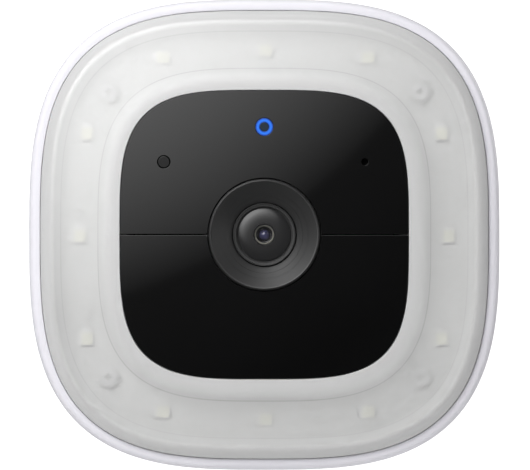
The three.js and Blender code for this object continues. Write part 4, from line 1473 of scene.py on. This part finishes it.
@dataclass
class Face:
    """The split black face and the small windows in its upper half."""

    half: float = 31.7
    crown_drop: float = 0.8
    back: float = 3.1
    lens_hole: float = 12.56
    split: float = 0.11
    edge_radius: float = 0.08
    status_height: float = 23.7
    eye: tuple[float, float] = (22.1, 16.0)

    def crown(self, points: np.ndarray) -> np.ndarray:
        """Depth of the crowned front: a paraboloid, drop * (radius / half)^2."""
        return self.crown_drop * (points**2).sum(-1) / self.half**2

    def half_loop(self, spacing: float = 0.4) -> np.ndarray:
        """Outline of the upper panel: the rounded square, the split, the lens hole and the split again.

        Args:
            spacing: the distance between points along the split.

        Returns:
            Its points (x, z), counterclockwise.
        """
        start = math.asin(self.split / self.half)
        even = np.linspace(0, math.pi, 300)
        gathered = even + OUTLINE.gather * np.sin(4 * even)
        outer = OUTLINE.loop(self.half, start + gathered * (math.pi - 2 * start) / math.pi)
        outer[[0, -1], 1] = self.split
        hole_start = math.asin(self.split / self.lens_hole)
        turn = np.linspace(math.pi - hole_start, hole_start, 110)
        hole = self.lens_hole * np.stack([np.cos(turn), np.sin(turn)], -1)
        left = refined(np.array([outer[-1], hole[0]]), spacing)[1:-1]
        right = refined(np.array([hole[-1], outer[0]]), spacing)[1:-1]
        return np.concatenate([outer, left, hole, right])

    def panel(self, upper: bool) -> Surface:
        """One half of the face, flat behind and with its edges eased.

        Args:
            upper: whether it is the upper half, which has the small windows.

        Returns:
            The surface.
        """
        loop = self.half_loop()
        softness = (np.linalg.norm(loop, axis=1) > self.lens_hole + 0.01).astype(float)
        edges = [Edge(loop, soft_wall(self.edge_radius, self.back), softness)]
        if upper:
            small = soft_wall(0.07, self.back, steps=3)
            edges.append(Edge(circle(1.98, 0, self.status_height, 96), small))
            edges.append(Edge(circle(1.44, -self.eye[0], self.eye[1], 72), small))
            edges.append(Edge(circle(0.78, self.eye[0], self.eye[1], 56), small))
        else:
            edges = [Edge((loop * [1, -1])[::-1], edges[0].wall, softness[::-1])]
        return plate(edges, self.crown, self.back, 0.7, self.back)

    def windows(self) -> None:
        """The ring light with its dark core, the light sensor's disc and the microphone's hole."""
        back = 8.2
        front = float(self.crown(np.array([0.0, self.status_height])))
        ring = rounded([(1.02, front + 0.12, 0.08), (1.94, front + 0.12, 0.05), (1.94, back, 0),
                        (1.02, back, 0)], True)
        HEAD.piece(spun(ring, 96, True).moved(z=self.status_height), "status_ring", Body.HEAD,
                   STATUS_GLOW, ["status_light_guide"])
        core = rounded([(0, front + 0.1, 0), (1.0, front + 0.1, 0.05), (1.0, back, 0), (0, back, 0)])
        HEAD.piece(spun(core, 64).moved(z=self.status_height), "status_core", Body.HEAD,
                   STATUS_CORE)
        front = float(self.crown(np.array(self.eye)))
        disc = rounded([(0, front + 0.03, 0), (1.27, front + 0.03, 0.08), (1.27, back, 0), (0, back, 0)])
        HEAD.piece(spun(disc, 64).moved(x=-self.eye[0], z=self.eye[1]), "sensor_disc", Body.HEAD,
                   PIANO_BLACK, ["light_sensor_window"])

    def build(self) -> None:
        """Makes both halves and the windows."""
        for name, upper in (("upper_face", True), ("lower_face", False)):
            HEAD.piece(self.panel(upper), name, Body.HEAD, PIANO_BLACK, [f"{name}_panel"])
        self.windows()


# ---------------------------------------------------------------- the lens


@dataclass
class Lens:
    """The dished bezel and the optics in its middle."""

    bezel_radius: float = 12.46
    throat_radius: float = 7.12
    holder_radius: float = 6.95
    dome_radius: float = 5.78
    dome_crown: float = 2.1
    dome_drop: float = 0.42
    dome_back: float = 3.1
    cone_mouth: float = 5.5
    cone_end: float = 2.2
    ring_radius: float = 2.16
    seat_radius: float = 1.84
    pupil_radius: float = 1.05
    pupil_ball: float = 1.35

    def bezel(self) -> None:
        """Dished ring with a chamfered rim; two shallow steps circle the dish."""
        rim, throat = self.bezel_radius, self.throat_radius
        line = rounded([
            (rim, 0.9, 0.1), (12.2, 0.42, 0.1), (11.85, 0.22, 0.1), (11.6, 0.3, 0.15), (9.72, 1.32, 0.05),
            (9.62, 1.39, 0.05), (8.5, 2.0, 0.05), (8.42, 2.08, 0.05), (throat, 2.78, 0.1), (throat, 3.9, 0),
            (13.6, 3.9, 0), (13.6, 3.4, 0), (rim, 3.4, 0),
        ], True)
        HEAD.piece(spun(refined(line, 0.4, True), 256, True), "dished_bezel", Body.HEAD,
                   SATIN_BEZEL, ["lens_bezel"])

    def holder(self) -> None:
        """Narrow stepped ring that holds the front glass."""
        edge = self.holder_radius
        line = rounded([(5.84, 3.1, 0), (5.88, 2.95, 0.03), (6.14, 2.9, 0.05), (6.2, 2.45, 0.05),
                        (6.62, 2.4, 0.08), (6.8, 2.28, 0.08), (edge, 2.45, 0.08), (edge, 3.1, 0)], True)
        HEAD.piece(spun(line, 192, True), "glass_retainer", Body.HEAD, ANODISED,
                   ["lens_ring"])

    def dome(self) -> None:
        """Front glass, nearly flat in the middle: depth = crown + drop * (r / R)^6, on a flat back."""
        radius = np.linspace(0, self.dome_radius, 60)
        cap = np.stack([radius, self.dome_crown + self.dome_drop * (radius / self.dome_radius) ** 6], -1)
        profile = np.concatenate([cap, [[self.dome_radius, self.dome_back], [0, self.dome_back]]])
        HEAD.piece(spun(profile, 192), "front_glass", Body.HEAD, FRONT_GLASS, ["lens_dome"])

    def barrel(self) -> None:
        """Barrel whose conical mouth runs down to the bright ring of the inner lens."""
        mouth = refined(np.array([[self.cone_mouth, 3.35], [self.cone_end, 3.75]]), 0.2)[::-1]
        rest = np.array([[6.9, 3.4], [6.9, 8.6], [6.0, 8.6], [6.0, 17.0], [self.cone_end, 17.0]])
        line = np.concatenate([mouth, rest])
        HEAD.piece(spun(line, 160, True), "lens_tube", Body.HEAD, ANODISED, ["lens_barrel"])

    def pupil(self) -> None:
        """Inner lens: a bright ring, a dished glossy ring inside it and a small round lens in the middle."""
        inner, outer = self.seat_radius, self.ring_radius
        ring = rounded([(inner, 3.9, 0.05), (1.88, 3.45, 0.06), (2.1, 3.45, 0.06), (outer, 3.7, 0.05),
                        (outer, 6.6, 0), (inner, 6.6, 0)], True)
        HEAD.piece(spun(ring, 128, True), "pupil_ring", Body.HEAD, BRONZE_RING)
        turn = np.linspace(0, math.pi / 2, 16)
        dish = np.stack([inner - 0.72 * np.sin(turn), 3.75 + 0.8 * (1 - np.cos(turn))], -1)[::-1]
        seat = np.concatenate([dish, [[inner, 7.2], [1.12, 7.2]]])
        HEAD.piece(spun(seat, 128, True), "pupil_seat", Body.HEAD, SEAT_BLACK)
        ball = self.pupil_ball
        radius = np.linspace(0, self.pupil_radius, 20)
        cap = np.stack([radius, 3.95 + ball - np.sqrt(ball**2 - radius**2)], -1)
        profile = np.concatenate([cap, [[self.pupil_radius, 8.0], [0, 8.0]]])
        HEAD.piece(spun(profile, 96), "pupil_lens", Body.HEAD, PUPIL_GLASS, ["inner_lens"])

    def build(self) -> None:
        """Makes the bezel and the optics."""
        self.bezel()
        self.holder()
        self.dome()
        self.barrel()
        self.pupil()


# ---------------------------------------------------------------- the bracket


@dataclass
class WallBracket:
    """Wall plate, post, ribbed collar and ball stud."""

    plate_half: float = 27.0
    plate_thickness: float = 5.0
    ball_y: float = -18.5
    ball_radius: float = 8.0
    neck_radius: float = 3.0
    rib_count: int = 40
    wall_screw_reach: float = 19.0
    post_screw_x: float = 6.5
    thread_pitch: float = 1.27

    def wall_plate(self) -> None:
        """Rounded-square plate, countersunk for three wall screws and, from behind, for two post screws."""
        thick = self.plate_thickness
        sink = np.array([[2.35, 0.0], [2.25, 0.06], [0.0, 2.3], [0.0, thick]])
        from_behind = np.array([[0.0, 0.0], [0.0, thick - 2.0], [2.0, thick - 0.05], [2.05, thick]])
        places = [math.pi / 2, 7 * math.pi / 6, 11 * math.pi / 6]
        edges = [Edge(OUTLINE.loop(self.plate_half, OUTLINE.angles(280)), soft_wall(2.2, thick, 0.3, 8))]
        reach = self.wall_screw_reach
        edges += [Edge(circle(2.3, reach * math.cos(a), reach * math.sin(a), 64), sink) for a in places]
        edges += [Edge(circle(1.5, x, 0, 48), from_behind) for x in (self.post_screw_x, -self.post_screw_x)]
        shape = plate(edges, level(-thick), thick, 1.2)
        BRACKET.piece(shape, "mounting_plate", Body.BRACKET, WHITE_CASE, ["wall_plate"])

    def on_ball(self, radius: float, degrees: float) -> tuple[float, float, float]:
        """A profile corner on a sphere about the ball's centre, at an angle from the mouth."""
        angle = math.radians(degrees)
        return (radius * math.sin(angle), self.ball_y - radius * math.cos(angle), 0.0)

    def post(self) -> None:
        """Post and slotted cup that hold the ball."""
        foot = -self.plate_thickness - 0.3
        grip = self.ball_radius + 0.35
        floor = self.ball_y + 9.9
        centre = self.ball_y
        line = rounded([
            (0, foot, 0), (13, foot, 0.1), (13, foot - 2.2, 0.5), (10.6, foot - 2.2, 0.2),
            (10.6, centre - 2, 0.3), (9.6, centre - 4.6, 0.3), (8.2, centre - 5.3, 0.15),
            *(self.on_ball(grip, degrees) for degrees in (60, 68, 75)),
            (8.5, centre, 0), (8.5, floor, 0), (0, floor, 0),
        ])
        made = BRACKET.piece(spun(line, 160), "ball_cup", Body.BRACKET, WHITE_CASE,
                             ["ball_socket"])
        front, back = centre - 7, centre + 4
        middle, length = (front + back) / 2, back - front
        carve(made, [block(size, 0.2).moved(y=middle) for size in ((1.2, length, 24), (24, length, 1.2))])

    def collar(self) -> None:
        """Ribbed collar: its outer radius falls by a rounded groove between ribs, fading at both ends."""
        back, ball = -self.plate_thickness - 3.9, self.ball_y
        line = rounded([
            (10.95, back, 0.1), (10.95, ball - 2.2, 0.2), (10, ball - 4.95, 0.2), (8.75, ball - 5.65, 0.15),
            (8.75, ball - 6.4, 0.2), (11.8, ball - 6.4, 0.5), (13.5, ball - 4.8, 1.2), (13.6, ball - 3.4, 0),
            (13.6, back + 0.9, 0.5), (12.8, back, 0.2),
        ], True)
        line = refined(line, 0.5, True)
        sides = self.rib_count * 16
        angle = np.arange(sides) * FULL_TURN / sides
        radius, along = line[:, :1], line[:, 1:]
        groove = 0.45 * (0.5 - 0.5 * np.cos(self.rib_count * angle)) ** 3
        outside = np.clip((radius - 13.1) / 0.4, 0, 1)
        low, high = ball - 3.6, back + 0.9
        middle, reach = (low + high) / 2, (high - low) / 2
        fade = np.clip((1 - np.abs((along - middle) / reach)) * 8, 0, 1)
        shaped = radius - groove[None, :] * outside * fade
        BRACKET.piece(sheet(polar(shaped, along, angle), True, True), "ribbed_collar", Body.COLLAR,
                      WHITE_CASE, ["lock_collar"])

    def stud(self) -> None:
        """Ball, neck and knurled flange, with a helical thread.

        Along the thread the radius falls by a ramp that repeats each pitch and follows the turn.
        """
        neck = math.asin(self.neck_radius / self.ball_radius)
        swing = np.linspace(math.pi, neck, 60)
        ball = self.ball_radius * np.stack([np.sin(swing), -np.cos(swing)], -1) + [0.0, self.ball_y]
        ball[0, 0] = 0
        flange = self.ball_y - 14
        body = rounded([(self.neck_radius, self.ball_y - 8.2, 0), (self.neck_radius, flange, 0.5),
                        (6.4, flange, 0.3), (6.8, flange - 0.5, 0.3), (6.8, flange - 2.2, 0.2),
                        (3.1, flange - 2.2, 0.1), (3.05, flange - 3.0, 0)])
        rows = 90
        thread_y = np.linspace(flange - 3.1, flange - 8.4, rows)
        thread = np.stack([np.full(rows, 3.05), thread_y], -1)
        end = np.array([[2.5, flange - 9.0], [0.0, flange - 9.0]])
        line = np.concatenate([ball, body[1:], thread, end])
        sides = 192
        angle = np.arange(sides) * FULL_TURN / sides
        radius, along = line[:, :1].repeat(sides, 1), line[:, 1:].repeat(sides, 1)
        start = len(ball) + len(body) - 1
        turns = along[start:start + rows] / self.thread_pitch + angle / FULL_TURN
        ramp = np.abs((turns % 1.0) * 2 - 1)
        fade = np.clip((np.arange(rows) / 8)[:, None], 0, 1)
        radius[start:start + rows] -= 0.5 * ramp * fade
        knurl = (np.abs(line[:, 0] - 6.8) < 0.02)[:, None] * 0.12 * np.abs(np.sin(36 * angle))
        shape = sheet(polar(radius - knurl, along, angle), close_columns=True)
        BRACKET.piece(shape, "ball_and_screw", Body.STUD, ZINC_STEEL, ["ball_stud"])

    def washer(self) -> None:
        """Rubber washer with a ribbed front."""
        back, front = -35.0, -36.2
        ribs = [(r, front + (0.18 if i % 2 else 0.0), 0.06) for i, r in enumerate(np.linspace(7.4, 4.0, 9))]
        line = rounded([(3.5, back, 0.1), (8, back, 0.2), (8, front, 0.2), *ribs, (3.5, front, 0.1)], True)
        BRACKET.piece(spun(line, 128, True), "rubber_washer", Body.STUD, BLACK_RUBBER,
                      ["stud_washer"])

    def post_screws(self) -> None:
        """Countersunk screws with cross recesses, driven from the back of the plate."""
        line = rounded([(0, -0.25, 0), (2.6, -0.25, 0.15), (2.7, -0.35, 0.05), (1.05, -1.9, 0.2),
                        (1.05, -7.4, 0.2), (0, -8, 0)])
        for name, x in (("left", -self.post_screw_x), ("right", self.post_screw_x)):
            made = BRACKET.piece(spun(line, 64).moved(x=x), f"sunk_screw_{name}", Body.BRACKET,
                                 ZINC_STEEL, [f"post_screw_{name}"])
            carve(made, [cut.moved(x=x, y=-0.25) for cut in cross_recess(1.5, 1.1, 0.6, into=-1)])

    def build(self) -> None:
        """Makes the bracket's pieces."""
        self.wall_plate()
        self.post()
        self.collar()
        self.stud()
        self.washer()
        self.post_screws()


# ---------------------------------------------------------------- CAD pieces that stay


@dataclass
class Internals:
    """Finishes for the CAD pieces whose shape is already right."""

    finishes: dict[str, Finish] = field(default_factory=lambda: {
        "friction_pad": BLACK_RUBBER,
        "shell_gasket": BLACK_RUBBER,
        "thread_insert": TURNED_BRASS,
        "front_chassis": REFLECTOR_WHITE,
        "heat_spreader": SHEET_METAL,
        "lens_holder": BLACK_NYLON,
        "filter_carrier": PUPIL_GLASS,
        "filter_coil": CHIP_BLACK,
        "image_sensor": CHIP_BLACK,
        "sensor_board": GREEN_BOARD,
        "sensor_ribbon": FLEX,
        "front_board": GREEN_BOARD,
        "mic_boot": BLACK_RUBBER,
        "microphone": CHIP_BLACK,
        "pir_sensor": ZINC_STEEL,
        "ir_emitter_left": PUPIL_GLASS,
        "ir_emitter_right": PUPIL_GLASS,
        "main_board": GREEN_BOARD,
        "processor_shield": SHEET_METAL,
        "wifi_antenna": GREEN_BOARD,
        "battery_cradle": BLACK_NYLON,
        "battery_cell_1": CELL_WRAP,
        "battery_cell_2": CELL_WRAP,
        "battery_cell_3": CELL_WRAP,
        "battery_cell_4": CELL_WRAP,
        "busbar_top": SHEET_METAL,
        "busbar_bottom": SHEET_METAL,
        "battery_lead": BLACK_RUBBER,
        "speaker": BLACK_NYLON,
        "speaker_mesh": GRILLE_CLOTH,
        "charge_board": GREEN_BOARD,
        "button_switch": CHIP_BLACK,
    })

    def build(self) -> None:
        """Gives each node its finish."""
        for node, finish in self.finishes.items():
            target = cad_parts[node]
            for place in target.material_slots:
                place.material = finish.material()
            LOG.info("%s: %s", node, finish.name)


# ---------------------------------------------------------------- studio


@dataclass(frozen=True)
class Lamp:
    """A square area light: place and width in metres, power in watts, and whether gloss mirrors it."""

    name: str
    place: tuple[float, float, float]
    size: float
    power: float
    mirrored: bool = True

    def build(self, target: Vector) -> None:
        """Sets the lamp up.

        Args:
            target: the point it is aimed at, in metres.
        """
        data = bpy.data.lights.new(self.name, "AREA")
        data.size, data.energy = self.size, self.power
        made = bpy.data.objects.new(self.name, data)
        made.location = self.place
        made.rotation_euler = (target - Vector(self.place)).to_track_quat("-Z", "Y").to_euler()
        made.visible_camera = False
        made.visible_glossy = self.mirrored
        bpy.context.scene.collection.objects.link(made)


LAMPS = (
    Lamp("top", (-0.3, -0.2, 1.0), 0.8, 3.2),
    Lamp("near_corner", (-0.20, -0.28, 0.20), 0.08, 0.25, mirrored=False),
    Lamp("right", (1.0, -0.3, 0.1), 0.7, 1.2),
    Lamp("behind_left", (-0.7, 0.9, 0.5), 0.7, 2.4, mirrored=False),
    Lamp("behind_right", (0.8, 0.8, 0.4), 0.7, 2.5),
)


@dataclass
class Studio:
    """Camera, floor, lights and surroundings."""

    lens: float = 400.0
    sensor: float = 36.0
    distance: float = 1302.0
    aim: tuple[float, float] = (0.15, -0.07)
    rim_y: float = -86.5
    key_ahead: float = 600.0
    key_centre: tuple[float, float] = (-253.0, 388.0)
    key_radius: float = 458.0
    key_glow: float = 1.22
    key_centre_light: float = 4.85
    key_edge_light: float = 0.06
    key_core: float = 0.38
    key_spill: float = 0.11
    floor_z: float = -420.0
    floor_radius: float = 2600.0
    ambient: float = 0.17
    backdrop: float = 1.2
    front_gloss: float = 0.035
    side_gloss: float = 0.5
    gloss_span: tuple[float, float] = (-0.45, 0.25)

    def camera(self) -> None:
        """A long lens square on to the face."""
        data = bpy.data.cameras.new("view")
        data.lens, data.sensor_width = self.lens, self.sensor
        data.clip_start, data.clip_end = 0.01, 50.0
        made = bpy.data.objects.new("view", data)
        made.location = (self.aim[0] * MM, (self.rim_y - self.distance) * MM, self.aim[1] * MM)
        made.rotation_euler = (math.pi / 2, 0, 0)
        bpy.context.scene.collection.objects.link(made)
        bpy.context.scene.camera = made

    def key(self) -> None:
        """Round softbox above and to the left, dimmer towards its edge, which the glossy face mirrors."""
        rings, sides = 14, 160
        radius = np.linspace(0, self.key_radius * self.key_glow, rings)[:, None].repeat(sides, 1)
        angle = np.arange(sides) * FULL_TURN / sides
        x, z = self.key_centre
        y = head_front() - self.key_ahead
        made = solid(sheet(polar(radius, y, angle), close_columns=True).moved(x=x, z=z), "softbox")
        material = bpy.data.materials.new("softbox")
        material.use_nodes = True
        material.node_tree.nodes.clear()
        wiring = Wiring(material.node_tree)
        away = wiring.length(wiring.place(centre=(x * MM, y * MM, z * MM)))
        share = wiring.maths("DIVIDE", away, self.key_radius * MM)
        glow = wiring.add("ShaderNodeEmission")
        cloth = wiring.ranged(share, self.key_core, 1.0, self.key_centre_light, self.key_edge_light)
        within = wiring.ranged(share, 0.995, 1.01, 1.0, 0.0)
        spill = wiring.ranged(share, 1.0, self.key_glow, self.key_spill, self.front_gloss)
        strength = wiring.maths("ADD", wiring.maths("MULTIPLY", cloth, within), spill)
        wiring.feed(glow, Color=(1.0, 1.0, 1.0, 1.0), Strength=strength)
        end = wiring.add("ShaderNodeOutputMaterial")
        wiring.tree.links.new(glow.outputs[0], end.inputs[0])
        made.data.materials.append(material)
        made.visible_camera = False
        made.visible_shadow = False

    def floor(self) -> None:
        """Plain pale floor well below the wall-hung camera."""
        radius = np.linspace(0, self.floor_radius, 6)
        angle = np.arange(96) * FULL_TURN / 96
        grid = np.stack([radius[:, None] * np.sin(angle), radius[:, None] * np.cos(angle),
                         np.full((6, 96), self.floor_z)], -1)
        made = solid(sheet(grid, close_columns=True), "floor")
        if made.data.polygons[0].normal.z < 0:
            made.data.flip_normals()
        made.data.materials.append(PALE_FLOOR.material())
        made.visible_glossy = False

    def world(self) -> None:
        """White behind the object, an even light on matt surfaces, and in gloss darker towards the front."""
        world = bpy.data.worlds.new("studio")
        bpy.context.scene.world = world
        world.use_nodes = True
        world.node_tree.nodes.clear()
        wiring = Wiring(world.node_tree)
        path = wiring.add("ShaderNodeLightPath")
        _, y, _ = wiring.split(wiring.add("ShaderNodeTexCoord").outputs["Generated"])
        gloss = wiring.ranged(y, *self.gloss_span, self.front_gloss, self.side_gloss, smooth=True)
        above_ambient = wiring.maths("SUBTRACT", gloss, self.ambient)
        extra = wiring.maths("MULTIPLY", path.outputs["Is Glossy Ray"], above_ambient)
        white = wiring.maths("MULTIPLY", path.outputs["Is Camera Ray"], self.backdrop)
        strength = wiring.maths("ADD", wiring.maths("ADD", self.ambient, extra), white)
        back = wiring.add("ShaderNodeBackground")
        wiring.feed(back, Color=(1.0, 1.0, 1.0, 1.0), Strength=strength)
        end = wiring.add("ShaderNodeOutputWorld")
        wiring.tree.links.new(back.outputs[0], end.inputs[0])

    def build(self) -> None:
        """Sets the scene."""
        self.camera()
        self.key()
        self.floor()
        self.world()
        for lamp in LAMPS:
            lamp.build(Vector((0, -0.06, 0)))
        view = bpy.context.scene.view_settings
        view.view_transform, view.look = "Standard", "None"


def main() -> None:
    """Builds the camera from the outside in, then its studio."""
    logging.basicConfig(level=logging.INFO, format="%(name)s %(message)s")
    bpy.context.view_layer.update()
    for part in (Case(), LightRing(), Face(), Lens(), WallBracket(), Internals(), Studio()):
        LOG.info("building %s", type(part).__name__)
        part.build()


if __name__ == "__main__":
    main()
